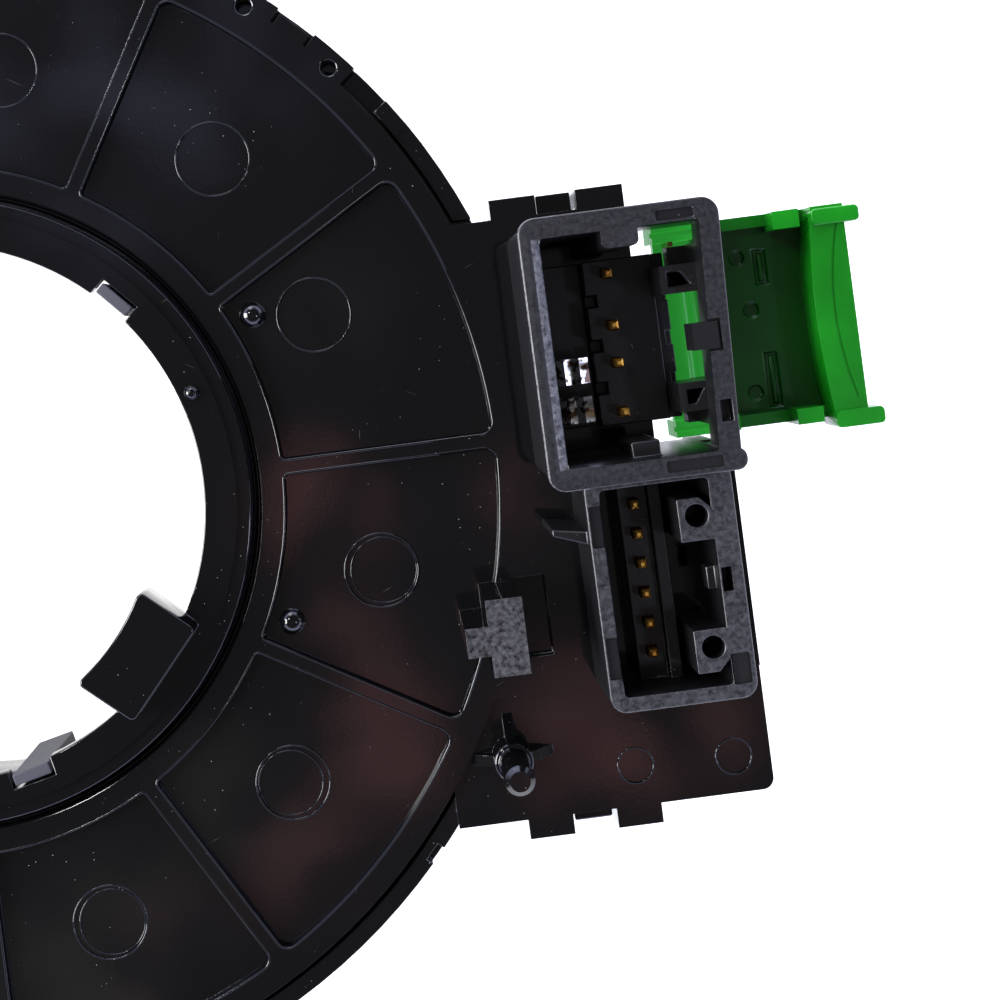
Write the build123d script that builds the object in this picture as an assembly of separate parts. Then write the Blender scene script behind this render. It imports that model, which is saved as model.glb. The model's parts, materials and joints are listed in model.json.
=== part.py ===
from build123d import *
import math
import os

# Steering clock spring, in millimetres. The origin is on the steering axis, in the plane that the
# wheel side rests on. +Z points to the steering column, +X to the block with the column's sockets.

# The ring
BORE_RADIUS = 23.0
CASE_RADIUS = 52.4
CASE_WALL = 2.2
FRONT_HEIGHT = 8.0
LIP_THICKNESS = 1.4
LIP_WIDTH = 3.6
RUNNING_GAP = 0.3
DISC_THICKNESS = 2.0
CHAMBER_DEPTH = 10.3
PLATE_THICKNESS = 2.0
SEAT_GAP = 0.15
RING_WIDTH = 4.0
RING_GAP = 0.7
HUB_COVERED = 0.7
COLLAR_SETBACK = 3.6

CASE_Z = FRONT_HEIGHT
DISC_Z = CASE_Z + LIP_THICKNESS + RUNNING_GAP
DISC_TOP = DISC_Z + DISC_THICKNESS
COVER_Z = DISC_TOP + CHAMBER_DEPTH
PLATE_TOP = COVER_Z + PLATE_THICKNESS
CHAMBER_RADIUS = CASE_RADIUS - CASE_WALL
LIP_RADIUS = CASE_RADIUS - LIP_WIDTH
RING_RADIUS = BORE_RADIUS + RING_WIDTH
INNER_RIM_RADIUS = RING_RADIUS + RING_GAP
HUB_RADIUS = INNER_RIM_RADIUS + HUB_COVERED
FRONT_BORE = BORE_RADIUS + COLLAR_SETBACK
RIM = CASE_RADIUS

# The flange round the cover
FLANGE_WIDTH = 1.5
FLANGE_GAP = 0.4
FLANGE_DROP = 0.4
FLANGE_STEP = 1.2
FLANGE_STEP_SPAN = 4.0
FLANGE_NOTCH_ANGLE = -42.0
FLANGE_NOTCH_SIZE = (1.4, 1.6, 2.4)
RIM_DOT_RADIUS = 0.6
RIM_DOT_ANGLES = (31.5, 21.9)
COVER_RADIUS = CASE_RADIUS - FLANGE_WIDTH - FLANGE_GAP
FLANGE_TOP = PLATE_TOP - FLANGE_DROP

# The cover's face: raised rims, ribs between sunk panels, and the marks in the panels
INNER_RIM_WIDTH = 2.1
OUTER_RIM_WIDTH = 2.1
INNER_LIP_HEIGHT = 0.8
PANEL_COUNT = 12
PANEL_DEPTH = 0.8
RIB_WIDTH = 1.15
PANEL_OUTER_CORNER = 1.1
PANEL_INNER_CORNER = 0.5
PANEL_DRAFT = 15.0
MARK_RADIUS = 3.2
MARK_DEPTH = 0.1
MARK_OFFSET = 0.6
FIRST_MARK_INSET = 2.0
FIRST_MARK_ANGLE = 20.4
DOME_RADIUS = 1.15
DOME_HEIGHT = 0.75
DOME_INSET = 2.1
DOME_ROOT = 0.3
DOME_ANGLES = (24.8, -24.8)

# The rim latches
LATCH_ANGLES = (46.5, 166.5, 286.5)
LATCH_SPAN = 14.0
LATCH_SIDE_GAP = 0.2
LATCH_HEIGHT = 1.6
LATCH_HOLE_RADIUS = 0.65
LATCH_HOLE_INSET = 1.5
LATCH_HOLE_ANGLE = 5.1
LATCH_FINGER_SETBACK = 0.4
SLIT_WIDTH = 0.35
SLIT_ANGLE = 1.93
SLIT_DEPTH = 1.4

# The block beside the ring, which carries the sockets. Its places along X are told from the ring's rim.
BLOCK_LEFT = RIM - 11.4
BLOCK_RIGHT = RIM + 16.1
BLOCK_STEP = RIM + 9.6
BLOCK_BOTTOM = -33.0
BLOCK_TOP = 18.8
BLOCK_CORNER = 1.0
BOX_WALL = 1.6
BOX_FLOOR_Z = 10.0
LEDGE_Y = -22.2
LEDGE_DROP = 0.5
HOOK_THICKNESS = 1.5
HOOK_GAP = 0.2
HOOK_DEPTH = 9.0
HOOK_WINDOW = 2.3
HOOK_WINDOW_HEIGHT = 2.4
HOOK_FOOT = 2.2
TOP_HOOKS = ((RIM - 2.0, RIM + 2.0), (RIM + 5.5, RIM + 9.6))
BOTTOM_HOOKS = ((RIM - 5.4, RIM - 1.5), (RIM + 2.3, RIM + 6.2))
CATCH_SIDE_GAP = 0.25
CATCH_HEIGHT = 1.6
CATCH_TOP_GAP = 0.4
CATCH_SHARE = 0.6
GUARD_OUT = {1: 1.7, -1: 1.1}
GUARD_HEIGHT = 6.0
GUARD_DROP = 0.4
GUARD_GAP = 0.25
BLOCK_MARK_RADIUS = 1.55
BLOCK_MARKS = ((RIM + 4.4, -29.5), (RIM + 12.9, -29.8))
CABLE_SLOT_HALF = 5.0

# The locating pin and the post
PIN_X = RIM - 6.1
PIN_Y = -27.2
PIN_RADIUS = 1.25
PIN_HEIGHT = 10.0
PIN_CHAMFER = 0.4
PIN_SHOULDER_RADIUS = 1.7
GUSSET_REACH = 3.6
GUSSET_HEIGHT = 3.4
GUSSET_THICKNESS = 0.9
POST_X = (RIM - 7.1, RIM - 4.1)
POST_Y = (-18.5, -12.2)
POST_WING_X = RIM - 9.0
POST_WING_Y = (-16.7, -14.3)
POST_HEIGHT = 10.5
POCKET_X = (RIM - 4.0, RIM - 1.4)
POCKET_Y = (-19.0, -12.0)
POCKET_DEPTH = 1.4

# The upper socket, for the plug that has a slide lock
UPPER_X = (RIM - 0.9, RIM + 14.1)
UPPER_Y = (-3.3, 17.3)
UPPER_LEAN = 0.7
UPPER_HEIGHT = 18.0
UPPER_WALL = 1.3
SOCKET_CORNER = 1.0
INNER_CORNER = 0.35
WALL_BITE = 0.2
LIP_OUT = 0.35
LIP_HEIGHT = 1.4
LEAD_IN_WIDTH = 0.85
LEAD_IN_DEPTH = 0.3
RAIL_CLEARANCE = 0.35
WAY_END_GAP = 1.2
BAR_HEIGHT = 4.0
KEY_X = (RIM + 5.1, RIM + 8.0)
KEY_REACH = 1.4
KEY_CORNER = 0.5
STEP_X = (RIM + 5.7, RIM + 8.0)
STEP_REACH = 1.3
STEP_DROP = 3.0
END_PAD_X = (RIM + 7.6, RIM + 14.2)
END_PAD_Y = (-3.65, -1.9)
END_PAD_CORNER = 0.8
END_PAD_HEIGHT = 5.0
RIM_RECESSES = (((RIM + 9.5, RIM + 12.4), (16.2, 17.0)), ((RIM + 7.9, RIM + 12.3), (-3.2, -2.3)))
RIM_RECESS_DEPTH = 0.15
SIDE_POCKET = ((RIM + 12.6, RIM + 13.5), (0.2, 1.9))
SIDE_POCKET_DEPTH = 1.2
BRACKETS = ((RIM + 9.75, 10.5, 12.75), (RIM + 10.1, 1.1, 3.4))
BRACKET_Z = (PLATE_TOP + 8.3, PLATE_TOP + 14.5)
BRACKET_LEG = 0.58
BRACKET_END = 0.6
BRACKET_FLOOR = 0.8
BRACKET_SLANT = 0.8
CROSS_WALLS = ((12.7, 14.3), (-0.1, 1.2))
CROSS_WALL_HEIGHT = 2.3
KNOB_X = (RIM + 11.2, RIM + 13.2)
KNOB_Y = (5.9, 8.0)
KNOB_DROP = 0.1
KNOB_GROOVE = 0.2
KNOB_GROOVE_DEPTH = 0.5

# The terminal block in the upper socket
BLOCK_Y = (0.4, 14.0)
FOOT_X = (RIM + 0.5, RIM + 3.2)
TERMINAL_BLOCK_LEFT = RIM + 4.4
TERMINAL_BLOCK_EDGE = RIM + 10.1
TERMINAL_BLOCK_RIGHT = RIM + 11.2
TERMINAL_BLOCK_TOP = 8.0
TERMINAL_BLOCK_STEP = 0.9
LEDGE_TOP = 5.5
BRIDGE_GAP = 3.6
CELL_NOTCH_YS = (10.7, 7.0, 3.5)
CELL_NOTCH_SIZES = ((0.9, 1.0), (0.5, 1.2))
CELL_NOTCH_FLOOR = 0.8
UPPER_PIN_X = RIM + 6.25
UPPER_PIN_YS = (12.85, 8.6, 5.5, 1.43)
UPPER_PIN_TIP = 10.0
UPPER_LEAD_HEIGHT = 5.2
UPPER_DROP_X = RIM + 1.8
PIN_SIZE = 0.64
PIN_HOLE_GAP = 0.05
PIN_TIP_SHARE = 0.28
CLIP_YS = (5.2, 2.0)
CLIP_WIDTH = 2.1
CLIP_THICKNESS = 0.3
CLIP_HEIGHT = 3.2
CLIP_X = (RIM + 0.9, RIM + 3.9)
CLIP_BEND = 0.8
CLIP_DIP = 0.4
CLIP_END = 1.2

# The lower socket
LOWER_X = (RIM + 1.9, RIM + 13.9)
LOWER_Y = (-22.6, -3.3)
LOWER_HEIGHT = 11.0
LOWER_WALL = 1.25
LOWER_RIGHT_WALL = 1.95
CORNER_POST_X = RIM + 10.7
CORNER_POST_YS = (-7.5, -18.2)
CORNER_POST_LEFT = 1.5
CORNER_POST_UP = 1.5
CORNER_POST_DOWN = 2.05
CORNER_POST_SLANT = 0.95
CORNER_HOLE_RADIUS = 0.9
CORNER_HOLE_DEPTH = 6.0
SLOT_X = (RIM + 12.1, RIM + 12.95)
SLOT_Y = (-13.85, -11.9)
SLOT_DEPTH = 3.0
NUB_REACH = 0.8
NUB_HEIGHT = 2.0
NUB_DROP = 2.0
PATCHES = (
    ((RIM + 2.1, RIM + 3.15), (-9.1, -5.7)),
    ((RIM + 2.1, RIM + 3.15), (-19.8, -16.4)),
    ((RIM + 12.0, RIM + 13.5), (-21.4, -18.9)),
)
PATCH_DEPTH = 0.25
FINGER = ((RIM - 0.95, -7.85), (RIM + 2.1, -8.95), (RIM + 2.1, -7.75), (RIM - 0.95, -7.25))
FINGER_DROP = 1.0
PIN_BED_X = (RIM + 5.2, RIM + 7.7)
PIN_BED_HEIGHT = 4.4
PIN_WALL_X = (RIM + 7.7, RIM + 8.8)
PIN_WALL_HEIGHT = 5.2
LOWER_PIN_X = RIM + 6.5
LOWER_PIN_PITCH = 2.5
LOWER_PIN_COUNT = 6
LOWER_PIN_FIRST_Y = -19.0
LOWER_PIN_TIP = 6.0
LOWER_DROP_X = RIM + 3.0

# The slide lock, pulled out as it is before the plug goes in
LOCK_TRAVEL = 8.0
LOCK_X = (RIM + 11.3, RIM + 26.7)
LOCK_Y = (-1.5, 16.2)
LOCK_LIFT = 0.3
LOCK_FLOOR = 1.2
RAIL_LEAD = 0.5
RAIL_HEIGHT = 5.0
RAIL_WIDTH = 1.35
GROOVE_WIDTH = 0.4
GROOVE_DEPTH = 1.2
NOSE_WIDTH = 3.0
NOSE_HEIGHT = 2.6
NOSE_Y = (0.6, 13.6)
OUTER_RAIL_X = RIM + 15.2
OUTER_RAIL_HEIGHT = 2.8
OUTER_RAIL_WIDTH = 1.0
CROSS_HEIGHT = 6.0
CROSS_X = RIM + 24.0
CROSS_BOW = 0.6
CROSS_SLOT_X = (RIM + 26.0, RIM + 25.0)
CROSS_SLOT_WIDTH = 0.2
CROSS_SLOT_DEPTH = 0.4
CROSS_SLOT_END = 1.6
EAR_X = (RIM + 23.9, RIM + 27.9)
EAR_YS = ((-2.3, -0.9), (14.6, 15.95))
EAR_LIFT = 1.5
EAR_RISE = 0.5
EAR_CORNER = 0.4
PAD_X = (RIM + 20.8, RIM + 23.0)
PAD_YS = ((-1.65, -0.35), (14.7, 16.2))
FLOOR_SLOTS = (((RIM + 19.7, RIM + 20.8), (10.3, 13.3)), ((RIM + 19.6, RIM + 20.7), (-0.2, 4.5)))
FLOOR_SLOT_LINE = 0.35
FLOOR_DIMPLES = ((RIM + 18.3, 12.8), (RIM + 19.0, 8.25), (RIM + 18.5, 1.2))
DIMPLE_RADIUS = 0.65
DIMPLE_DEPTH = 0.4
CONTACT_X = RIM + 12.3
CONTACT_SIZE = 0.4
CONTACT_HEIGHT = 3.6

# The rotor, which turns with the steering wheel
COLLAR_WALL = 2.2
DISC_CLEARANCE = 0.4
DISC_RADIUS = CHAMBER_RADIUS - DISC_CLEARANCE
HUB_WALL = 3.0
SKIRT_CLEARANCE = 0.2
SKIRT_WALL = 0.8
SKIRT_DEPTH = 3.4
RING_HEIGHT = 1.2
RING_THICKNESS = 1.6
RING_STEP_WIDTH = 1.2
RING_STEP_DROP = 0.3
RING_DOME_INSET = 1.2
RING_DOME_RADIUS = 0.7
RING_DOME_ANGLE = 17.8
HOOK_ANGLES = (42.8, 162.8, 282.8)
CLIP_SPAN = 3.3
CLIP_SIDE_GAP = 0.25
CLIP_BORE_GAP = 0.3
CLIP_WALL = 1.0
CLIP_ROOT = 2.4
CLIP_ROOT_BITE = 0.3
DRIVE_ANGLE = -41.2
DRIVE_WIDTH = 9.4
DRIVE_REACH = 4.2
DRIVE_ROOT = 1.0
DRIVE_HEIGHT = 3.4
DRIVE_CORNER = 0.5

# The wheel side's sockets, in a tower on the rotor's disc
BUS_X = (-HUB_RADIUS - 2.5, -HUB_RADIUS - 0.2)
TOWER_X = (-LIP_RADIUS + 4.8, -FRONT_BORE - 0.4)
TOWER_Y = (-18.0, 18.0)
TOWER_CORNER = 2.0
WHEEL_FLOOR = 1.5
WHEEL_PIN_TIP = 3.2
WHEEL_PIN_PITCH = 2.5
WHEEL_SOCKET_YS = {"wheel_airbag": (2.5, 15.9), "wheel_switch": (-16.7, 1.1)}
AIRBAG_PIN_COUNT = 4
SWITCH_PIN_COUNT = 6
WHEEL_SOCKET_X = (TOWER_X[0] + 1.5, BUS_X[0] - 0.1)
WHEEL_PIN_X = (WHEEL_SOCKET_X[0] + WHEEL_SOCKET_X[1]) / 2 - 0.85
WHEEL_CORNER = 1.0
WHEEL_INNER_CORNER = 0.6
WHEEL_SHELL = 1.1
LEAD_ROOM = 1.3
LEAD_GRIP = 0.8
BUS_END = 2.0
FOOT_END = HUB_RADIUS - 0.9

# The flat cable and what guides it
CABLE_THICKNESS = 0.3
CABLE_HALF_TURNS = 9
CABLE_INNER = HUB_RADIUS + 1.9
CABLE_OUTER = CHAMBER_RADIUS - 1.6
CABLE_EDGE_GAP = 0.25
SHEET_THICKNESS = 0.25
SHEET_EDGE_GAP = 0.5
OUTER_JOINT_X = (RIM + 0.3, RIM + 4.0)
OUTER_JOINT_Y = (-19.8, 14.0)
JOINT_HEIGHT = 8.6
JOINT_DROP = 0.6
JOINT_TONGUE = 3.7
TONGUE_INSET = 0.2
INNER_JOINT_WIDTH = 9.0
INNER_JOINT_DEPTH = 1.9
INNER_JOINT_GAP = 0.6

UPPER_TOP = PLATE_TOP + UPPER_HEIGHT
LOWER_TOP = PLATE_TOP + LOWER_HEIGHT
HUB_TOP = PLATE_TOP + RING_HEIGHT - RING_THICKNESS
RING_TOP = PLATE_TOP + RING_HEIGHT
HUB_SHOULDER = COVER_Z - SHEET_THICKNESS - RUNNING_GAP
LOCK_Z = PLATE_TOP + LOCK_LIFT
CABLE_Z = DISC_TOP + SHEET_THICKNESS + CABLE_EDGE_GAP
CABLE_TOP = COVER_Z - SHEET_THICKNESS - CABLE_EDGE_GAP
JOINT_TOP = CABLE_TOP - JOINT_DROP
HUB_BORE = HUB_RADIUS - HUB_WALL
SKIRT_RADIUS = HUB_BORE - SKIRT_CLEARANCE
SKIRT_BORE = SKIRT_RADIUS - SKIRT_WALL
INNER_JOINT_FACE = CABLE_INNER - INNER_JOINT_GAP
RAIL_ROOM = CROSS_HEIGHT + RAIL_CLEARANCE + LOCK_LIFT
CATCH_Z = COVER_Z - HOOK_DEPTH + HOOK_FOOT
FAR = 200.0


def lift(sketch, z0, z1):
    """A prism of a flat outline, from height z0 to height z1."""
    return extrude(Pos(0, 0, z0) * sketch, amount=z1 - z0)


def lift_sideways(corners, y):
    """A prism of an outline told by its corners' X and Z, anticlockwise, over a range of Y."""
    plane = Plane(origin=(0, y[1], 0), x_dir=(1, 0, 0), z_dir=(0, -1, 0))
    return extrude(plane * make_face(Polyline(*corners, close=True)), amount=y[1] - y[0])


def rect(x, y, corner=0.0):
    """A rectangle from its two ranges."""
    width, depth = x[1] - x[0], y[1] - y[0]
    place = Pos((x[0] + x[1]) / 2, (y[0] + y[1]) / 2)
    if corner:
        return place * RectangleRounded(width, depth, corner)
    return place * Rectangle(width, depth)


def brick(x, y, z):
    """A cuboid from its three ranges."""
    return lift(rect(x, y), z[0], z[1])


def ring(inner, outer, z0, z1):
    """A plain ring about the steering axis."""
    return lift(Circle(outer) - Circle(inner), z0, z1)


def polar(radius, degrees):
    """A point at a radius and an angle about the steering axis."""
    angle = math.radians(degrees)
    return radius * math.cos(angle), radius * math.sin(angle)


def wedge(start, end):
    """A flat wedge from the axis outwards, between two angles less than 120 degrees apart."""
    middle = (start + end) / 2
    corners = [(0, 0), polar(FAR, start), polar(2 * FAR, middle), polar(FAR, end)]
    return make_face(Polyline(*corners, close=True))


def grow(span, by):
    """A range made longer at both ends."""
    return span[0] - by, span[1] + by


def strip(points, size):
    """A square strip with square bends, along runs that are each parallel to an axis."""
    solid = None
    for start, end in zip(points, points[1:]):
        spans = [grow(sorted((a, b)), size / 2) for a, b in zip(start, end)]
        run = brick(*spans)
        solid = run if solid is None else solid + run
    return solid


def block_outline(inset=0.0):
    """The outline of the block beside the ring: full width below the step, narrower above it."""
    low, high = BLOCK_BOTTOM + inset, BLOCK_TOP - inset
    corners = [
        (BLOCK_LEFT, low),
        (BLOCK_RIGHT - inset, low),
        (BLOCK_RIGHT - inset, UPPER_Y[0] - inset),
        (BLOCK_STEP - inset, UPPER_Y[0] - inset),
        (BLOCK_STEP - inset, high),
        (BLOCK_LEFT, high),
    ]
    face = make_face(Polyline(*corners, close=True))
    outer_corners = [v for v in face.vertices() if v.X > BLOCK_STEP - 1 and abs(v.Y - UPPER_Y[0]) > 2]
    return fillet(outer_corners, max(BLOCK_CORNER - inset, 0.2))


def make_stator_case():
    """The casing: the outer wall with its front lip, and the box that holds the column-side leads."""
    wall_top = COVER_Z
    body = lift(Circle(CASE_RADIUS), CASE_Z, wall_top) + lift(block_outline(), BOX_FLOOR_Z, wall_top)
    body -= lift(Circle(CHAMBER_RADIUS), CASE_Z + LIP_THICKNESS, wall_top)
    body -= lift(Circle(LIP_RADIUS), CASE_Z, wall_top)
    hollow = block_outline(BOX_WALL) - Circle(CASE_RADIUS)
    body -= lift(hollow, BOX_FLOOR_Z + BOX_WALL, wall_top)
    slot_z = (CABLE_Z, wall_top)
    body -= brick((BLOCK_LEFT, OUTER_JOINT_X[0]), (-CABLE_SLOT_HALF, CABLE_SLOT_HALF), slot_z)
    body += flange()
    for guard in guards():
        body += guard
    for catch in catches():
        body += catch
    return body


def flange():
    """The casing's flange round the cover, open at the latches and the block."""
    rim = ring(COVER_RADIUS + FLANGE_GAP, CASE_RADIUS, COVER_Z, FLANGE_TOP)
    rim -= lift(block_outline(-FLANGE_GAP), COVER_Z, FLANGE_TOP)
    for angle in LATCH_ANGLES:
        half = LATCH_SPAN / 2 + LATCH_SIDE_GAP
        rim -= lift(wedge(angle - half, angle + half), COVER_Z, FLANGE_TOP)
        low_part = wedge(angle - half - FLANGE_STEP_SPAN, angle - half + 1)
        rim -= lift(low_part, FLANGE_TOP - FLANGE_STEP, FLANGE_TOP)
    rim -= Rot(0, 0, FLANGE_NOTCH_ANGLE) * Pos(CASE_RADIUS, 0, FLANGE_TOP) * Box(*FLANGE_NOTCH_SIZE)
    for angle in RIM_DOT_ANGLES:
        x, y = polar(CASE_RADIUS - FLANGE_WIDTH / 2, angle)
        rim -= Pos(x, y, FLANGE_TOP) * Cylinder(RIM_DOT_RADIUS, 2 * MARK_DEPTH)
    return rim


def hook_sides():
    """Each snap hook's range along the block, its edge, and which way is out."""
    for span in TOP_HOOKS:
        yield span, BLOCK_TOP, 1
    for span in BOTTOM_HOOKS:
        yield span, BLOCK_BOTTOM, -1


def guards():
    """The bars on the box's walls that fill the space between two snap hooks."""
    for hooks_there, edge, out in ((TOP_HOOKS, BLOCK_TOP, 1), (BOTTOM_HOOKS, BLOCK_BOTTOM, -1)):
        x = grow((hooks_there[0][1], hooks_there[1][0]), -GUARD_GAP)
        y = sorted((edge, edge + out * GUARD_OUT[out]))
        top = COVER_Z - GUARD_DROP
        yield brick(x, y, (top - GUARD_HEIGHT, top))


def catches():
    """The wedges on the box's walls that the cover's snap hooks catch on."""
    half = HOOK_WINDOW / 2 - CATCH_SIDE_GAP
    reach = HOOK_GAP + HOOK_THICKNESS * CATCH_SHARE
    side = make_face(Polyline((0, 0), (reach, 0), (0, -CATCH_HEIGHT), close=True))
    top = CATCH_Z + HOOK_WINDOW_HEIGHT - CATCH_TOP_GAP
    for (x0, x1), edge, out in hook_sides():
        start = ((x0 + x1) / 2 - half, edge, top)
        plane = Plane(origin=start, x_dir=(0, out, 0), z_dir=(out, 0, 0))
        yield extrude(plane * side, amount=2 * half * out)


def panel():
    """One sunk panel of the cover, between two ribs, with rounded corners."""
    step = 360 / PANEL_COUNT
    apex = RIB_WIDTH / 2 / math.sin(math.radians(step / 2))
    between = Rot(0, 0, step / 2) * Pos(apex, 0) * Rot(0, 0, -step / 2) * wedge(0, step)
    inner = INNER_RIM_RADIUS + INNER_RIM_WIDTH
    outer = COVER_RADIUS - OUTER_RIM_WIDTH
    face = (Circle(outer) - Circle(inner)) & between
    corners = face.vertices().sort_by_distance((0, 0, 0))
    face = fillet(corners[2:], PANEL_OUTER_CORNER)
    inside = face.vertices().sort_by_distance((0, 0, 0))[:2]
    return fillet(inside, PANEL_INNER_CORNER)


def panels():
    """The cover's sunk panels, each with the round mark of the mould's ejector. The first mark is off centre."""
    step = 360 / PANEL_COUNT
    floor = PLATE_TOP - PANEL_DEPTH
    sunk = extrude(Pos(0, 0, PLATE_TOP) * panel(), amount=-PANEL_DEPTH, taper=PANEL_DRAFT)
    radius = (INNER_RIM_RADIUS + COVER_RADIUS) / 2 - MARK_OFFSET
    for index in range(PANEL_COUNT):
        first = index == 0
        x, y = polar(radius - FIRST_MARK_INSET if first else radius, FIRST_MARK_ANGLE if first else step / 2)
        mark = lift(Pos(x, y) * Circle(MARK_RADIUS), floor - MARK_DEPTH, floor)
        yield Rot(0, 0, index * step) * (sunk + mark)


def latched(plate):
    """The cover's plate with its rim latches: each has two holes, two slits and a finger between them."""
    for angle in LATCH_ANGLES:
        span = wedge(angle - LATCH_SPAN / 2, angle + LATCH_SPAN / 2)
        tab = (Circle(CASE_RADIUS) - Circle(COVER_RADIUS - OUTER_RIM_WIDTH)) & span
        tab -= wedge(angle - SLIT_ANGLE, angle + SLIT_ANGLE) - Circle(CASE_RADIUS - LATCH_FINGER_SETBACK)
        plate += lift(tab, PLATE_TOP - LATCH_HEIGHT, PLATE_TOP)
        for side in (-1, 1):
            x, y = polar(CASE_RADIUS - LATCH_HOLE_INSET, angle + side * LATCH_HOLE_ANGLE)
            plate -= Pos(x, y, PLATE_TOP) * Cylinder(LATCH_HOLE_RADIUS, 2 * LATCH_HEIGHT)
            slit = Box(2 * SLIT_DEPTH, SLIT_WIDTH, 2 * LATCH_HEIGHT)
            plate -= Rot(0, 0, angle + side * SLIT_ANGLE) * Pos(CASE_RADIUS, 0, PLATE_TOP) * slit
    return plate


def dome(angle):
    """A low round boss in the corner of a panel."""
    x, y = polar(INNER_RIM_RADIUS + INNER_RIM_WIDTH + DOME_INSET, angle)
    cap_radius = (DOME_RADIUS ** 2 + DOME_HEIGHT ** 2) / (2 * DOME_HEIGHT)
    floor = PLATE_TOP - PANEL_DEPTH
    ball = Pos(x, y, floor + DOME_HEIGHT - cap_radius) * Sphere(cap_radius)
    return ball & lift(Pos(x, y) * Circle(2 * DOME_RADIUS), floor - DOME_ROOT, floor + DOME_HEIGHT)


def make_rear_cover():
    """The rear cover: the ribbed ring face, the block's plate, and the pin and post that stand on it."""
    plate = lift(Circle(COVER_RADIUS) + block_outline(), COVER_Z, PLATE_TOP)
    plate -= lift(Circle(INNER_RIM_RADIUS), COVER_Z, PLATE_TOP)
    plate += ring(RING_RADIUS + RUNNING_GAP, INNER_RIM_RADIUS, COVER_Z, COVER_Z + INNER_LIP_HEIGHT)
    plate = latched(plate)
    for sunk in panels():
        plate -= sunk
    ledge = PLATE_TOP - LEDGE_DROP
    plate -= lift(rect((BLOCK_LEFT, FAR), (-FAR, LEDGE_Y)) - Circle(COVER_RADIUS), ledge, PLATE_TOP)
    plate -= brick(POCKET_X, POCKET_Y, (PLATE_TOP - POCKET_DEPTH, PLATE_TOP))
    for x, y in BLOCK_MARKS:
        plate -= lift(Pos(x, y) * Circle(BLOCK_MARK_RADIUS), ledge - MARK_DEPTH, ledge)
    for angle in DOME_ANGLES:
        plate += dome(angle)
    plate += locating_pin() + post()
    for hook in hooks():
        plate += hook
    for path in upper_paths() + lower_paths():
        plate -= strip(path, PIN_SIZE + 2 * PIN_HOLE_GAP)
    return plate


def locating_pin():
    """The round pin that finds the hole in the column's bracket, on a shoulder with three gussets."""
    base = PLATE_TOP - LEDGE_DROP
    shaft = Pos(PIN_X, PIN_Y) * Circle(PIN_RADIUS)
    pin = lift(shaft, base, PLATE_TOP + PIN_HEIGHT)
    pin = chamfer(pin.faces().sort_by(Axis.Z)[-1].edges(), PIN_CHAMFER)
    pin += lift(Pos(PIN_X, PIN_Y) * Circle(PIN_SHOULDER_RADIUS), base, base + GUSSET_HEIGHT)
    fin = make_face(Polyline((0, 0), (GUSSET_REACH, 0), (0, GUSSET_HEIGHT), close=True))
    fin = extrude(Rot(90, 0, 0) * fin, amount=GUSSET_THICKNESS / 2, both=True)
    for angle in (0, 90, 180):
        pin += Pos(PIN_X, PIN_Y, base) * Rot(0, 0, angle) * fin
    return pin


def post():
    """The T-shaped post beside the lower socket."""
    outline = rect(POST_X, POST_Y) + rect((POST_WING_X, POST_X[0]), POST_WING_Y)
    return lift(outline, PLATE_TOP - PANEL_DEPTH, PLATE_TOP + POST_HEIGHT)


def hooks():
    """The cover's snap hooks, each with a window for its catch on the box."""
    for (x0, x1), edge, out in hook_sides():
        top = PLATE_TOP if out > 0 else PLATE_TOP - LEDGE_DROP
        y = sorted((edge + out * HOOK_GAP, edge + out * (HOOK_GAP + HOOK_THICKNESS)))
        arm = brick((x0, x1), y, (COVER_Z - HOOK_DEPTH, top))
        arm += brick((x0, x1), sorted((edge - out, edge + out * HOOK_GAP)), (COVER_Z, top))
        middle = (x0 + x1) / 2
        window = (CATCH_Z, CATCH_Z + HOOK_WINDOW_HEIGHT)
        arm -= brick(grow((middle, middle), HOOK_WINDOW / 2), grow(y, 1), window)
        yield arm


def upper_paths():
    """The path of each lead of the upper socket: pin, run under the ledge, drop to the cable joint."""
    lead = PLATE_TOP + UPPER_LEAD_HEIGHT - PIN_SIZE
    end = JOINT_TOP + PIN_SIZE / 2
    return [
        [
            (UPPER_PIN_X, y, PLATE_TOP + UPPER_PIN_TIP - PIN_SIZE / 2),
            (UPPER_PIN_X, y, lead),
            (UPPER_DROP_X, y, lead),
            (UPPER_DROP_X, y, end),
        ]
        for y in UPPER_PIN_YS
    ]


def lower_paths():
    """The path of each lead of the lower socket: pin through the plate, run, drop to the joint."""
    lead = COVER_Z - PIN_SIZE / 2
    end = JOINT_TOP + PIN_SIZE / 2
    ys = [LOWER_PIN_FIRST_Y + LOWER_PIN_PITCH * index for index in range(LOWER_PIN_COUNT)]
    return [
        [
            (LOWER_PIN_X, y, PLATE_TOP + LOWER_PIN_TIP - PIN_SIZE / 2),
            (LOWER_PIN_X, y, lead),
            (LOWER_DROP_X, y, lead),
            (LOWER_DROP_X, y, end),
        ]
        for y in ys
    ]


def terminal(path):
    """A square lead with its pin's tip chamfered to a blunt point."""
    lead = strip(path, PIN_SIZE)
    tip = lead.faces().sort_by(Axis.Z)[-1]
    return chamfer(tip.edges(), PIN_SIZE * PIN_TIP_SHARE)


def upper_outline(by, corner):
    """The upper socket's outline, grown by a distance. Its right side leans in towards the lower socket."""
    (left, right), (low, high) = grow(UPPER_X, by), grow(UPPER_Y, by)
    corners = [(left, low), (right - UPPER_LEAN, low), (right, high), (left, high)]
    face = make_face(Polyline(*corners, close=True))
    return fillet(face.vertices(), corner)


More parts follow.
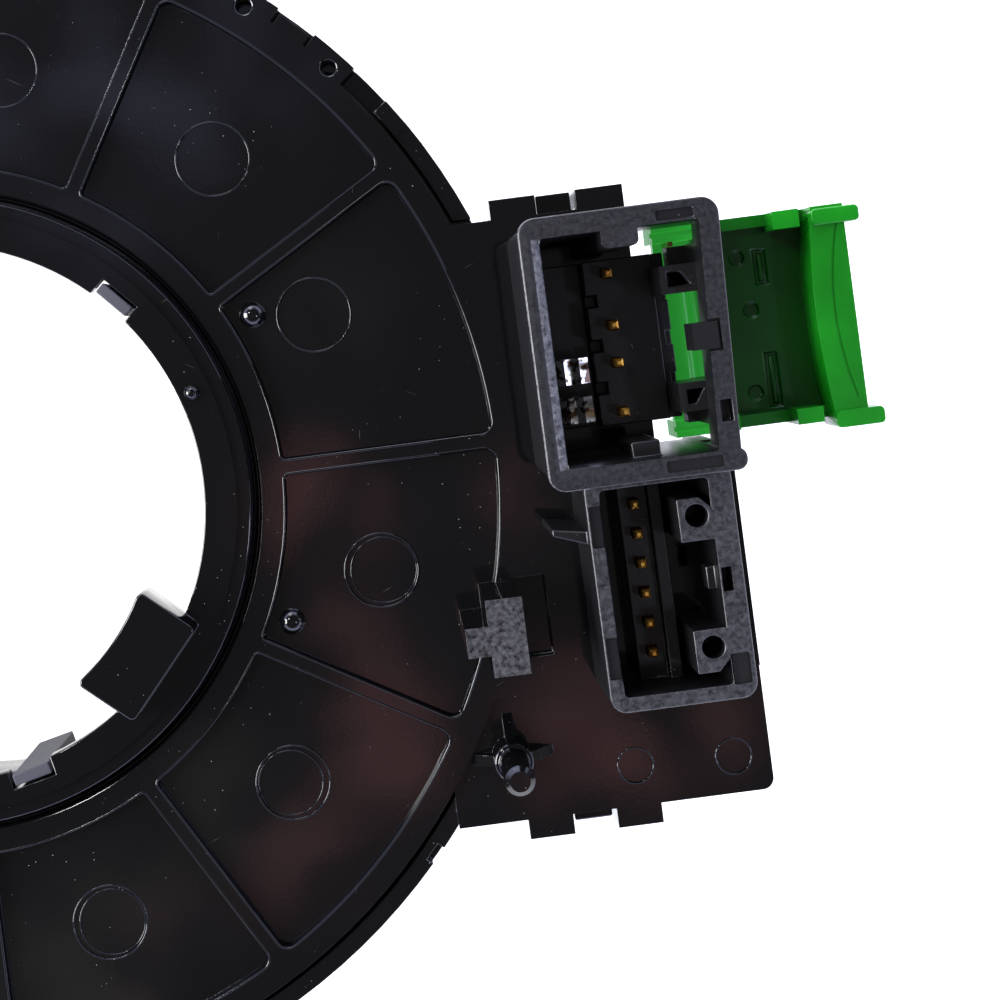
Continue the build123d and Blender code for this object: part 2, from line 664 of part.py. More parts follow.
def brackets():
    """The two hollow guides on the right wall of the upper socket. One corner of each hollow is cut off."""
    wall = UPPER_X[1] - UPPER_WALL
    floor = BRACKET_Z[0] + BRACKET_FLOOR
    for index, (left, low, high) in enumerate(BRACKETS):
        body = brick((left, wall), (low, high), BRACKET_Z)
        x0, x1 = left + BRACKET_END, wall - UPPER_LEAN
        y0, y1 = grow((low, high), -BRACKET_LEG)
        cut = [x1, x1 - BRACKET_SLANT] if index == 0 else [x1 - BRACKET_SLANT, x1]
        corners = [(x0, y0), (cut[0], y0), (cut[1], y1), (x0, y1)]
        yield body - lift(make_face(Polyline(*corners, close=True)), floor, BRACKET_Z[1])


def right_windows():
    """The ranges in which the upper socket's right wall is open above the slide lock."""
    low, high = grow(UPPER_Y, -UPPER_WALL)
    return [
        (low, CROSS_WALLS[1][0]),
        (BRACKETS[1][2], BRACKETS[0][1]),
        (CROSS_WALLS[0][1], high),
    ]


def lead_in(x, y):
    """The sloped edge that leads the plug in along the upper socket's left wall, as a solid to cut away."""
    slope = [(x - LEAD_IN_WIDTH, UPPER_TOP), (x, UPPER_TOP), (x, UPPER_TOP - LEAD_IN_DEPTH)]
    return lift_sideways(slope, y)


def make_upper_housing():
    """The upper socket's housing, with the key, the guides for the plug and the lock's way in."""
    inner_x = grow(UPPER_X, -UPPER_WALL)
    inner_y = grow(UPPER_Y, -UPPER_WALL)
    room_top = PLATE_TOP + RAIL_ROOM
    shell = lift(upper_outline(0, SOCKET_CORNER), PLATE_TOP, UPPER_TOP)
    shell += lift(upper_outline(LIP_OUT, SOCKET_CORNER + LIP_OUT), UPPER_TOP - LIP_HEIGHT, UPPER_TOP)
    shell += lift(rect(END_PAD_X, END_PAD_Y, END_PAD_CORNER), UPPER_TOP - END_PAD_HEIGHT, UPPER_TOP)
    shell -= lift(upper_outline(-UPPER_WALL, INNER_CORNER), PLATE_TOP, UPPER_TOP)
    way_in = LOCK_X[0] - LOCK_TRAVEL - WAY_END_GAP
    shell -= brick((way_in, FAR), grow(LOCK_Y, RAIL_CLEARANCE), (PLATE_TOP, room_top))
    for span in right_windows():
        shell -= brick((inner_x[1] - UPPER_LEAN, FAR), span, (room_top, UPPER_TOP - BAR_HEIGHT))
    for span in CROSS_WALLS:
        x = (TERMINAL_BLOCK_RIGHT + SEAT_GAP, inner_x[1])
        shell += brick(x, span, (room_top, room_top + CROSS_WALL_HEIGHT))
    for bracket in brackets():
        shell += bracket
    key = rect(KEY_X, (inner_y[1] - KEY_REACH, inner_y[1] + KEY_REACH / 2), KEY_CORNER)
    shell += lift(key, room_top, UPPER_TOP)
    step_y = (inner_y[0] - WALL_BITE, inner_y[0] + STEP_REACH)
    shell += brick(STEP_X, step_y, (room_top, UPPER_TOP - STEP_DROP))
    shell -= lead_in(inner_x[0], inner_y)
    around = grow(KNOB_X, KNOB_GROOVE)
    groove_z = (UPPER_TOP - KNOB_GROOVE_DEPTH, UPPER_TOP)
    shell -= brick(around, grow(KNOB_Y, KNOB_GROOVE), groove_z)
    shell += brick(KNOB_X, KNOB_Y, (UPPER_TOP - BAR_HEIGHT, UPPER_TOP - KNOB_DROP))
    for x, y in RIM_RECESSES:
        shell -= brick(x, y, (UPPER_TOP - RIM_RECESS_DEPTH, UPPER_TOP))
    return shell - brick(*SIDE_POCKET, (UPPER_TOP - SIDE_POCKET_DEPTH, UPPER_TOP))


def make_terminal_block():
    """The upper socket's terminal block: a foot on the plate and a bridge over the slide lock's way."""
    base = PLATE_TOP
    top = base + TERMINAL_BLOCK_TOP
    profile = [
        (FOOT_X[0], base),
        (FOOT_X[1], base),
        (FOOT_X[1], base + BRIDGE_GAP),
        (TERMINAL_BLOCK_RIGHT, base + BRIDGE_GAP),
        (TERMINAL_BLOCK_RIGHT, top - TERMINAL_BLOCK_STEP),
        (TERMINAL_BLOCK_EDGE, top - TERMINAL_BLOCK_STEP),
        (TERMINAL_BLOCK_EDGE, top),
        (TERMINAL_BLOCK_LEFT, top),
        (TERMINAL_BLOCK_LEFT, base + LEDGE_TOP),
        (FOOT_X[0], base + LEDGE_TOP),
    ]
    solid = lift_sideways(profile, BLOCK_Y)
    (left_depth, left_width), (right_depth, right_width) = CELL_NOTCH_SIZES
    high = (base + LEDGE_TOP + CELL_NOTCH_FLOOR, top)
    left_x = (TERMINAL_BLOCK_LEFT, TERMINAL_BLOCK_LEFT + left_depth)
    right_x = (TERMINAL_BLOCK_RIGHT - right_depth, TERMINAL_BLOCK_RIGHT)
    for y in CELL_NOTCH_YS:
        solid -= brick(left_x, grow((y, y), left_width / 2), high)
        solid -= brick(right_x, grow((y, y), right_width / 2), high)
    for path in upper_paths():
        solid -= strip(path, PIN_SIZE + 2 * PIN_HOLE_GAP)
    return solid


def thickened(points, thickness):
    """The corners, anticlockwise, of a strip that follows a line of points."""
    sides = [[], []]
    for index, (x, y) in enumerate(points):
        before, after = points[max(index - 1, 0)], points[min(index + 1, len(points) - 1)]
        along = math.atan2(after[1] - before[1], after[0] - before[0])
        dx, dy = -math.sin(along) * thickness / 2, math.cos(along) * thickness / 2
        sides[0].append((x + dx, y + dy))
        sides[1].append((x - dx, y - dy))
    return [*sides[1], *reversed(sides[0])]


def make_shorting_clip(y):
    """A bent spring strip that joins two airbag leads until the plug goes in."""
    low = PLATE_TOP + LEDGE_TOP + CLIP_THICKNESS / 2
    high = low + CLIP_HEIGHT - CLIP_THICKNESS
    left = CLIP_X[0] + CLIP_THICKNESS / 2 + CLIP_BEND
    right = CLIP_X[1] - CLIP_THICKNESS / 2
    points = [(right - CLIP_BEND, low)]
    for turn in (-90, -126, -162, -198, -234, -270):
        x, z = polar(1, turn)
        points.append((left + CLIP_BEND * x, (low + high) / 2 + (high - low) / 2 * z))
    step = (right - left) / 3
    points += [(left + step, high - CLIP_DIP), (left + 2 * step, high)]
    points += [(right, high - CLIP_DIP), (right, high - CLIP_END)]
    return lift_sideways(thickened(points, CLIP_THICKNESS), grow((y, y), CLIP_WIDTH / 2))


def corner_post(centre, first):
    """The outline of one drilled post in the lower socket. The corner that faces the wall is cut off."""
    left = CORNER_POST_X - CORNER_POST_LEFT
    wall = LOWER_X[1] - LOWER_RIGHT_WALL
    up, down = centre + CORNER_POST_UP, centre - CORNER_POST_DOWN
    if first:
        cut = [(wall, up - CORNER_POST_SLANT), (wall - CORNER_POST_SLANT, up)]
        corners = [(left, up), (left, down), (wall + WALL_BITE, down), (wall + WALL_BITE, cut[0][1]), *cut]
    else:
        cut = [(wall - CORNER_POST_SLANT, down), (wall, down + CORNER_POST_SLANT)]
        corners = [(left, up), (left, down), *cut, (wall + WALL_BITE, cut[1][1]), (wall + WALL_BITE, up)]
    return make_face(Polyline(*corners, close=True))


def make_lower_housing():
    """The lower socket's housing, with two drilled posts, the bed that the pins stand in, and a finger."""
    x, y = LOWER_X, LOWER_Y
    inner_x = (x[0] + LOWER_WALL, x[1] - LOWER_RIGHT_WALL)
    inner_y = grow(y, -LOWER_WALL)
    shell = lift(rect(x, y, SOCKET_CORNER + LIP_OUT), PLATE_TOP, LOWER_TOP)
    shell -= lift(rect(inner_x, inner_y, INNER_CORNER), PLATE_TOP, LOWER_TOP)
    bed_y = grow(inner_y, WALL_BITE)
    shell += brick(PIN_BED_X, bed_y, (PLATE_TOP, PLATE_TOP + PIN_BED_HEIGHT))
    shell += brick(PIN_WALL_X, bed_y, (PLATE_TOP, PLATE_TOP + PIN_WALL_HEIGHT))
    for index, centre in enumerate(CORNER_POST_YS):
        shell += lift(corner_post(centre, index == 0), PLATE_TOP, LOWER_TOP)
        hole = Pos(CORNER_POST_X, centre) * Circle(CORNER_HOLE_RADIUS)
        shell -= lift(hole, LOWER_TOP - CORNER_HOLE_DEPTH, LOWER_TOP)
    shell -= brick(SLOT_X, SLOT_Y, (LOWER_TOP - SLOT_DEPTH, LOWER_TOP))
    nub_top = LOWER_TOP - NUB_DROP
    shell += brick((inner_x[1] - NUB_REACH, SLOT_X[0]), SLOT_Y, (nub_top - NUB_HEIGHT, nub_top))
    for patch_x, patch_y in PATCHES:
        shell -= brick(patch_x, patch_y, (LOWER_TOP - PATCH_DEPTH, LOWER_TOP))
    finger = make_face(Polyline(*FINGER, close=True))
    shell += lift(finger, PLATE_TOP, LOWER_TOP - FINGER_DROP)
    for path in lower_paths():
        shell -= strip(path, PIN_SIZE + 2 * PIN_HOLE_GAP)
    return shell


def make_slide_lock():
    """The green slide lock: a tray with two grooved rails, a rounded nose and a bowed cross wall."""
    z = LOCK_Z
    floor_top = z + LOCK_FLOOR
    tray = brick(LOCK_X, LOCK_Y, (z, floor_top))
    rail_top = z + RAIL_HEIGHT
    for span in ((LOCK_Y[0], LOCK_Y[0] + RAIL_WIDTH), (LOCK_Y[1] - RAIL_WIDTH, LOCK_Y[1])):
        rail = brick((LOCK_X[0] - RAIL_LEAD, OUTER_RAIL_X + OUTER_RAIL_WIDTH), span, (z, rail_top))
        middle = (span[0] + span[1]) / 2
        groove = grow((middle, middle), GROOVE_WIDTH / 2)
        rail -= brick((LOCK_X[0] - 1, OUTER_RAIL_X), groove, (rail_top - GROOVE_DEPTH, rail_top))
        tray += rail
    for low in (LOCK_Y[0], LOCK_Y[1] - OUTER_RAIL_WIDTH):
        tray += brick((OUTER_RAIL_X, CROSS_X), (low, low + OUTER_RAIL_WIDTH), (z, z + OUTER_RAIL_HEIGHT))
    place = Pos(LOCK_X[0] + NOSE_WIDTH / 2, NOSE_Y[0], z) * Rot(90, 0, 0)
    nose = extrude(place * Ellipse(NOSE_WIDTH / 2, NOSE_HEIGHT), amount=-(NOSE_Y[1] - NOSE_Y[0]))
    tray += nose & brick((LOCK_X[0] - 1, CROSS_X), LOCK_Y, (z, z + NOSE_HEIGHT + 1))
    top = z + CROSS_HEIGHT
    tray += lift(cross_wall(), z, top)
    tray -= lift(cross_slot(), top - CROSS_SLOT_DEPTH, top)
    for span in EAR_YS:
        ear = brick(EAR_X, span, (z + EAR_LIFT, top + EAR_RISE))
        tray += fillet(ear.edges().filter_by(Axis.Z), EAR_CORNER)
    for span in PAD_YS:
        tray += brick(PAD_X, span, (z, top))
    for x, y in FLOOR_SLOTS:
        line = rect(x, y) - rect(grow(x, -FLOOR_SLOT_LINE), grow(y, -FLOOR_SLOT_LINE))
        tray -= lift(line, floor_top - DIMPLE_DEPTH, floor_top)
    for x, y in FLOOR_DIMPLES:
        tray -= Pos(x, y, floor_top) * Cylinder(DIMPLE_RADIUS, 2 * DIMPLE_DEPTH)
    return tray


def cross_wall():
    """The outline of the lock's cross wall, whose inner side bows towards the socket."""
    middle = (LOCK_Y[0] + LOCK_Y[1]) / 2
    bow = ThreePointArc((CROSS_X, LOCK_Y[0]), (CROSS_X - CROSS_BOW, middle), (CROSS_X, LOCK_Y[1]))
    corners = [(CROSS_X, LOCK_Y[1]), (LOCK_X[1], LOCK_Y[1]), (LOCK_X[1], LOCK_Y[0]), (CROSS_X, LOCK_Y[0])]
    return make_face(bow + Polyline(*corners))


def cross_slot():
    """The curved slot that parts the cross wall into a springy leaf and a stiff bar."""
    low, high = grow(LOCK_Y, -CROSS_SLOT_END)
    end, middle = CROSS_SLOT_X
    return trace(ThreePointArc((end, low), (middle, (low + high) / 2), (end, high)), CROSS_SLOT_WIDTH)


def make_lock_contact():
    """The small brass blade beside the slide lock's rail."""
    side = LOCK_Y[1] - RAIL_WIDTH
    return brick(grow((CONTACT_X, CONTACT_X), CONTACT_SIZE / 2), (side - CONTACT_SIZE, side),
                 (LOCK_Z + LOCK_FLOOR, LOCK_Z + LOCK_FLOOR + CONTACT_HEIGHT))


def hook_slots(width, inner, outer, z0, z1):
    """The room for the hub's three hooks, as solids to cut away."""
    slots = None
    for angle in HOOK_ANGLES:
        slot = Rot(0, 0, angle) * brick((inner, outer), grow((0, 0), width / 2), (z0, z1))
        slots = slot if slots is None else slots + slot
    return slots


def make_rotor_ring():
    """The ring that shows round the bore, with its skirt in the hub and the lug that the wheel drives."""
    face = ring(BORE_RADIUS, RING_RADIUS, HUB_TOP, RING_TOP)
    face -= ring(RING_RADIUS - RING_STEP_WIDTH, RING_RADIUS, RING_TOP - RING_STEP_DROP, RING_TOP)
    face += ring(SKIRT_BORE, SKIRT_RADIUS, HUB_TOP - SKIRT_DEPTH, HUB_TOP)
    x, y = polar(BORE_RADIUS + RING_DOME_INSET, RING_DOME_ANGLE)
    face += Pos(x, y, RING_TOP) * Sphere(RING_DOME_RADIUS)
    width = CLIP_SPAN + 2 * CLIP_SIDE_GAP
    room = BORE_RADIUS + CLIP_BORE_GAP + CLIP_WALL + CLIP_SIDE_GAP
    face -= hook_slots(width, BORE_RADIUS - 1, room, HUB_TOP - SKIRT_DEPTH, RING_TOP + 1)
    reach = BORE_RADIUS - DRIVE_REACH
    lug = rect((reach / 2, BORE_RADIUS + DRIVE_ROOT), grow((0, 0), DRIVE_WIDTH / 2)) - Circle(reach)
    lug = fillet(lug.vertices(), DRIVE_CORNER)
    return face + lift(Rot(0, 0, DRIVE_ANGLE) * lug, HUB_TOP, RING_TOP + DRIVE_HEIGHT)


def make_cable_hub():
    """The pale hub that the cable winds on, with three hooks that hold the ring down."""
    hub = ring(HUB_BORE, HUB_RADIUS, DISC_TOP, HUB_SHOULDER)
    hub += ring(HUB_BORE, RING_RADIUS, DISC_TOP, HUB_TOP)
    inner = BORE_RADIUS + CLIP_BORE_GAP
    hub += hook_slots(CLIP_SPAN, inner, HUB_BORE + CLIP_ROOT_BITE, DISC_TOP, DISC_TOP + CLIP_ROOT)
    hub += hook_slots(CLIP_SPAN, inner, inner + CLIP_WALL, DISC_TOP, RING_TOP)
    return hub - inner_joint_room()


def inner_joint_room():
    """The block of the inner cable joint, let into the hub's wall."""
    half = INNER_JOINT_WIDTH / 2
    x = (-INNER_JOINT_FACE, -HUB_RADIUS + INNER_JOINT_DEPTH)
    return brick(x, (-half, half), (DISC_TOP, HUB_SHOULDER))


def wheel_pin_ys(name):
    """The places of one wheel-side socket's pins along its length."""
    low, high = WHEEL_SOCKET_YS[name]
    count = AIRBAG_PIN_COUNT if name == "wheel_airbag" else SWITCH_PIN_COUNT
    first = (low + high) / 2 - (count - 1) / 2 * WHEEL_PIN_PITCH
    return [first + index * WHEEL_PIN_PITCH for index in range(count)]


def wheel_leads(name):
    """The paths of one wheel-side socket's leads, from the pin's tip to the inner cable joint's foot."""
    lead_z = DISC_TOP - PIN_SIZE / 2 - PIN_HOLE_GAP
    return [
        [
            (WHEEL_PIN_X, y, WHEEL_PIN_TIP + PIN_SIZE / 2),
            (WHEEL_PIN_X, y, lead_z),
            (BUS_X[0] + LEAD_GRIP, y, lead_z),
        ]
        for y in wheel_pin_ys(name)
    ]


def wheel_socket_outline(name):
    """The outline of one wheel-side socket."""
    return rect(WHEEL_SOCKET_X, WHEEL_SOCKET_YS[name], WHEEL_CORNER)


def make_rotor_front():
    """The rotor's front: the disc in the casing, the collar round the bore and the sockets' tower."""
    front = ring(FRONT_BORE, DISC_RADIUS, DISC_Z, DISC_TOP)
    front += ring(FRONT_BORE, FRONT_BORE + COLLAR_WALL, 0, DISC_Z)
    tower = rect(TOWER_X, TOWER_Y, TOWER_CORNER) - Circle(FRONT_BORE + COLLAR_WALL / 2)
    front += lift(tower, 0, DISC_Z)
    lead_floor = DISC_TOP - LEAD_ROOM
    for name in WHEEL_SOCKET_YS:
        front -= lift(wheel_socket_outline(name), 0, lead_floor)
    half = INNER_JOINT_WIDTH / 2
    front -= brick(BUS_X, bus_span(), (lead_floor, DISC_TOP))
    front -= brick((BUS_X[0], -FOOT_END), (-half, half), (lead_floor, DISC_TOP))
    for name in WHEEL_SOCKET_YS:
        for path in wheel_leads(name):
            front -= strip(path, PIN_SIZE + 2 * PIN_HOLE_GAP)
    return front


def bus_span():
    """The range of the strip that gathers the wheel side's leads."""
    ys = [y for name in WHEEL_SOCKET_YS for y in wheel_pin_ys(name)]
    return grow((min(ys), max(ys)), BUS_END * PIN_SIZE)


def make_wheel_socket(name):
    """One wheel-side socket: a cup pressed into the tower, with its leads through the floor."""
    top = DISC_TOP - LEAD_ROOM
    cup = lift(wheel_socket_outline(name), 0, top)
    inner_y = grow(WHEEL_SOCKET_YS[name], -WHEEL_SHELL)
    inner = rect(grow(WHEEL_SOCKET_X, -WHEEL_SHELL), inner_y, WHEEL_INNER_CORNER)
    cup -= lift(inner, 0, top - WHEEL_FLOOR)
    for path in wheel_leads(name):
        cup -= strip(path, PIN_SIZE + 2 * PIN_HOLE_GAP)
    return cup


def make_inner_joint():
    """The block that joins the cable's inner end to the wheel side's leads."""
    trough = DISC_TOP - LEAD_ROOM
    half = INNER_JOINT_WIDTH / 2 - SEAT_GAP
    foot = brick((BUS_X[0], -FOOT_END - SEAT_GAP), (-half, half), (trough, DISC_TOP))
    bus = brick((BUS_X[0] + SEAT_GAP, BUS_X[1] - SEAT_GAP), grow(bus_span(), -SEAT_GAP), (trough, DISC_TOP))
    joint = inner_joint_room() + foot + bus
    for name in WHEEL_SOCKET_YS:
        for path in wheel_leads(name):
            joint -= strip(path, PIN_SIZE)
    return joint


def make_outer_joint():
    """The block in the box that joins the cable's outer end to the column side's leads."""
    z = (JOINT_TOP - JOINT_HEIGHT, JOINT_TOP)
    tongue_x = (OUTER_JOINT_X[0] - JOINT_TONGUE, OUTER_JOINT_X[0])
    tongue_y = grow((0, 0), CABLE_SLOT_HALF - 1)
    return brick(OUTER_JOINT_X, OUTER_JOINT_Y, z) + brick(tongue_x, tongue_y, grow(z, -TONGUE_INSET))


def make_flat_cable():
    """The flat cable, wound loosely from the hub out to the casing, one half turn after another."""
    step = (CABLE_OUTER - CABLE_INNER) / CABLE_HALF_TURNS
    half = CABLE_THICKNESS / 2
    lines = []
    for offset in (-half, half):
        centre = step / 2
        side = -1
        for index in range(CABLE_HALF_TURNS):
            radius = CABLE_INNER + (index + 0.5) * step + offset
            bend = Vector(centre, side * radius)
            lines.append(ThreePointArc((centre + side * radius, 0), bend, (centre - side * radius, 0)))
            centre += side * step
            side = -side
    count = CABLE_HALF_TURNS
    for index in (0, count - 1):
        pair = (lines[index], lines[index + count])
        at = 0 if index == 0 else 1
        lines.append(Line(pair[0] @ at, pair[1] @ at))
    return lift(make_face(Curve() + lines), CABLE_Z, CABLE_TOP)


def make_sheet(low):
    """A slippery sheet for the cable's edge to slide on, under the cover or on the rotor's disc."""
    if low:
        return ring(CABLE_INNER, DISC_RADIUS - SHEET_EDGE_GAP, DISC_TOP, DISC_TOP + SHEET_THICKNESS)
    inner, outer = HUB_RADIUS + SHEET_EDGE_GAP, CHAMBER_RADIUS - SHEET_EDGE_GAP
    return ring(inner, outer, COVER_Z - SHEET_THICKNESS, COVER_Z)


def make_parts():
    """Every piece by its name."""
    parts = {
        "stator_case": make_stator_case(),
        "rear_cover": make_rear_cover(),
        "upper_socket_housing": make_upper_housing(),
        "upper_terminal_block": make_terminal_block(),
        "lower_socket_housing": make_lower_housing(),
        "slide_lock": make_slide_lock(),
        "lock_contact": make_lock_contact(),
        "rotor_front": make_rotor_front(),
        "rotor_ring": make_rotor_ring(),
        "cable_hub": make_cable_hub(),
        "inner_cable_joint": make_inner_joint(),
        "outer_cable_joint": make_outer_joint(),
        "flat_cable": make_flat_cable(),
        "front_slip_sheet": make_sheet(True),
        "rear_slip_sheet": make_sheet(False),
    }
    for number, path in enumerate(upper_paths(), 1):
        parts[f"upper_terminal_{number}"] = terminal(path)
    for number, path in enumerate(lower_paths(), 1):
        parts[f"lower_terminal_{number}"] = terminal(path)
    for number, y in enumerate(CLIP_YS, 1):
        parts[f"shorting_clip_{number}"] = make_shorting_clip(y)
    for name in WHEEL_SOCKET_YS:
        parts[f"{name}_socket"] = make_wheel_socket(name)
        for number, path in enumerate(wheel_leads(name), 1):
            parts[f"{name}_terminal_{number}"] = strip(path, PIN_SIZE)
    return parts


os.makedirs("parts", exist_ok=True)
for name, solid in make_parts().items():
    export_step(solid, f"parts/{name}.step")
    print(name, len(solid.solids()), "solid", round(solid.volume, 1), "mm3")
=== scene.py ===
# %% [markdown]
# # A steering clock spring, seen from the column side
#
# A clock spring carries wires across a turning steering wheel. A flat cable is wound in a ring-shaped
# casing, and one end of it turns with the wheel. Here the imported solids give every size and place, and
# this notebook gives them their finish: glossy black mouldings, satin sockets, a green lock, gold pins.

# %% Loading the frame
import json
import math

import bmesh
import bpy
from mathutils import Matrix, Vector

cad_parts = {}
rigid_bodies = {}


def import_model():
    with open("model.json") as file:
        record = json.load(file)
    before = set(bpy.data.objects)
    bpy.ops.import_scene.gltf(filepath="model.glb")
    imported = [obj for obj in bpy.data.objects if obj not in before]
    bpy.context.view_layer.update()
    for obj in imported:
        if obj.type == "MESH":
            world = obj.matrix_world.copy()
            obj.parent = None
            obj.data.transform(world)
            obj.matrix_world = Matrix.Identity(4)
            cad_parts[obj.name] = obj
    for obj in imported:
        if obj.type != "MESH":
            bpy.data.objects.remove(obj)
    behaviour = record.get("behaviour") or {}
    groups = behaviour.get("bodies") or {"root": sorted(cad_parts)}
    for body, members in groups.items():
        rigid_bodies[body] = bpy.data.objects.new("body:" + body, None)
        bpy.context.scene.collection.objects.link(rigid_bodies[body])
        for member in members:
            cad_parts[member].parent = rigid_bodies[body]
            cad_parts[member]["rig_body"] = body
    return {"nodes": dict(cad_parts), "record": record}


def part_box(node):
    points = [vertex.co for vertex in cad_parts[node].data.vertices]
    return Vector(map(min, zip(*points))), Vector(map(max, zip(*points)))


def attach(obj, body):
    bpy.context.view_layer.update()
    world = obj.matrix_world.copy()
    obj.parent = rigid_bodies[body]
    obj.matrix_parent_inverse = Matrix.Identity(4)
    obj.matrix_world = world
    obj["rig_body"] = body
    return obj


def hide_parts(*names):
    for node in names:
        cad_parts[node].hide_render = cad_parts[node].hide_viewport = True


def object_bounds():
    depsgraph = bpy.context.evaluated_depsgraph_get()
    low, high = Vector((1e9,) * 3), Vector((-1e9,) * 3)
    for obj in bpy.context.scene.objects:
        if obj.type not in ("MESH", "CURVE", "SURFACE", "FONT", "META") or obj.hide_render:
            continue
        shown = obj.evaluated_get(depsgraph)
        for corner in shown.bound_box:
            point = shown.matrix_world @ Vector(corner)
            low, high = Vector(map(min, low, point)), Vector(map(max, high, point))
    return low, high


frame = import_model()
nodes = frame["nodes"]
cad_low, cad_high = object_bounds()
print("the solids reach from", tuple(cad_low), "to", tuple(cad_high))

# %% [markdown]
# ## Units
# Blender counts in metres and a moulding is drawn in millimetres, so one value turns the one into the
# other. Small sizes are then readable where they are used.

# %% Units
MM = 0.001


def hex_colour(text):
    """An sRGB hex colour as the linear RGBA that a shader works with."""
    channels = [int(text[at:at + 2], 16) / 255 for at in (1, 3, 5)]
    linear = [c / 12.92 if c <= 0.04045 else ((c + 0.055) / 1.055) ** 2.4 for c in channels]
    return (*linear, 1.0)


# %% [markdown]
# ## The camera
# The photograph looks straight down the steering axis from close by, so tall sockets lean outwards from
# the point right under the lens. That point isn't in the picture's middle, because the picture is a
# crop. A small lens shift gives the same crop with no tilt, and circles stay circles.

# %% The camera
PICTURE = 1000
PLATE_SCALE = 11.6
VIEW_HEIGHT = 170.0
AXIS_PIXEL = (-61.0, 512.0)
UNDER_LENS_PIXEL = (380.0, 335.0)
OBJECT_TURN = math.radians(7.4)
SENSOR = 36.0
PLATE_RISE = 0.4

plate_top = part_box("stator_case")[1].z / MM + PLATE_RISE
across = (UNDER_LENS_PIXEL[0] - AXIS_PIXEL[0]) / PLATE_SCALE
up = (AXIS_PIXEL[1] - UNDER_LENS_PIXEL[1]) / PLATE_SCALE
camera_data = bpy.data.cameras.new("camera")
camera_data.sensor_width = SENSOR
camera_data.lens = PLATE_SCALE * VIEW_HEIGHT / PICTURE * SENSOR
camera_data.shift_x = 0.5 - UNDER_LENS_PIXEL[0] / PICTURE
camera_data.shift_y = UNDER_LENS_PIXEL[1] / PICTURE - 0.5
camera = bpy.data.objects.new("camera", camera_data)
bpy.context.scene.collection.objects.link(camera)
camera.location = Matrix.Rotation(-OBJECT_TURN, 3, "Z") @ Vector((across, up, 0)) * MM
camera.location.z = (plate_top + VIEW_HEIGHT) * MM
camera.rotation_euler = (0, 0, -OBJECT_TURN)
bpy.context.scene.camera = camera
bpy.context.scene.view_settings.view_transform = "Standard"
print("lens", round(camera_data.lens, 1), "mm, over", tuple(round(v / MM, 1) for v in camera.location))

# %% [markdown]
# ## Shader nodes
# A material is a small tree of nodes. One function adds a node, sets its properties and fills its
# sockets with values or links, so a tree reads from the pattern down to the surface.


# %% Adding a node
def add(tree, kind, sockets=None, **settings):
    """Adds a node, gives it its settings, and fills or links its sockets."""
    node = tree.nodes.new(kind)
    for name, value in settings.items():
        setattr(node, name, value)
    for name, value in (sockets or {}).items():
        if isinstance(value, bpy.types.NodeSocket):
            tree.links.new(value, node.inputs[name])
        else:
            node.inputs[name].default_value = value
    return node


def new_material(name):
    """An empty node material, with the place of each point on the object in metres."""
    material = bpy.data.materials.new(name)
    material.use_nodes = True
    material.node_tree.nodes.clear()
    place = add(material.node_tree, "ShaderNodeTexCoord").outputs["Object"]
    return material, material.node_tree, place


def finish_material(tree, shader):
    """Links the shader to the material's output."""
    add(tree, "ShaderNodeOutputMaterial", {"Surface": shader.outputs[0]})


def per_metre(millimetres):
    """The texture scale that makes one cell of a pattern this size."""
    return 1 / (millimetres * MM)


# %% [markdown]
# ## Black mouldings
# The casing and the cover are PBT from a polished tool: almost a mirror, and a little wavy where the
# plastic shrank over its ribs. The sockets are nylon from an eroded tool, so they are satin. The waves
# are a slow bump and the eroded texture is a fine one.


# %% Surface relief
def relief(tree, place, wave, grain):
    """A moulding's surface: slow waves, with the tool's fine texture on them. Heights in millimetres."""
    slow = add(tree, "ShaderNodeTexNoise", {"Vector": place, "Scale": per_metre(16), "Detail": 2.0})
    fine = add(tree, "ShaderNodeTexNoise", {"Vector": place, "Scale": per_metre(0.4), "Detail": 4.0})
    waves = add(tree, "ShaderNodeBump", {"Height": slow.outputs[0], "Strength": 1.0, "Distance": wave * MM})
    grained = add(tree, "ShaderNodeBump", {
        "Height": fine.outputs[0], "Strength": 0.8, "Distance": grain * MM, "Normal": waves.outputs[0]})
    return grained.outputs[0]


def window(tree, value, low, high, top=1.0):
    """Turns a range of a pattern's values into 0 to the top value."""
    ranged = add(tree, "ShaderNodeMapRange", {
        "Value": value, "From Min": low, "From Max": high, "To Max": top})
    return ranged.outputs[0]


def strongest(tree, patterns):
    """The strongest of several patterns at each point."""
    total = patterns[0]
    for pattern in patterns[1:]:
        total = add(tree, "ShaderNodeMath", {0: total, 1: pattern}, operation="MAXIMUM").outputs[0]
    return total


# %% [markdown]
# ### Dust, scratches, rubbed tops and a painted highlight
# Dust lies in drifts: small round specks, thinned out by a slow pattern. Scratches are stretched noise in
# a few directions, cut so high that only a few hairs are left. Where parts stand proud, their flat tops
# are rubbed pale, so a top is told from the rest by its height. The same pale is painted on the rounding
# of one rim, limited in X, as a painted highlight where that rim catches the light.


# %% Dust, scratches, rubbed tops and a painted highlight
SPECK_SPACING = 0.8
SCRATCH_WIDTH = 0.16
SCRATCH_TURNS_AND_LENGTHS = ((0.4, 4), (1.5, 3), (2.6, 6))


def dust(tree, place, amount):
    """Small pale specks that lie in drifts."""
    cells = add(tree, "ShaderNodeTexVoronoi", {"Vector": place, "Scale": per_metre(SPECK_SPACING)})
    drifts = add(tree, "ShaderNodeTexNoise", {"Vector": place, "Scale": per_metre(13), "Detail": 3.0})
    specks = window(tree, cells.outputs["Distance"], 0.06, 0.03)
    thick = window(tree, drifts.outputs[0], 0.47, 0.6, amount)
    return add(tree, "ShaderNodeMath", {0: specks, 1: thick}, operation="MULTIPLY").outputs[0]


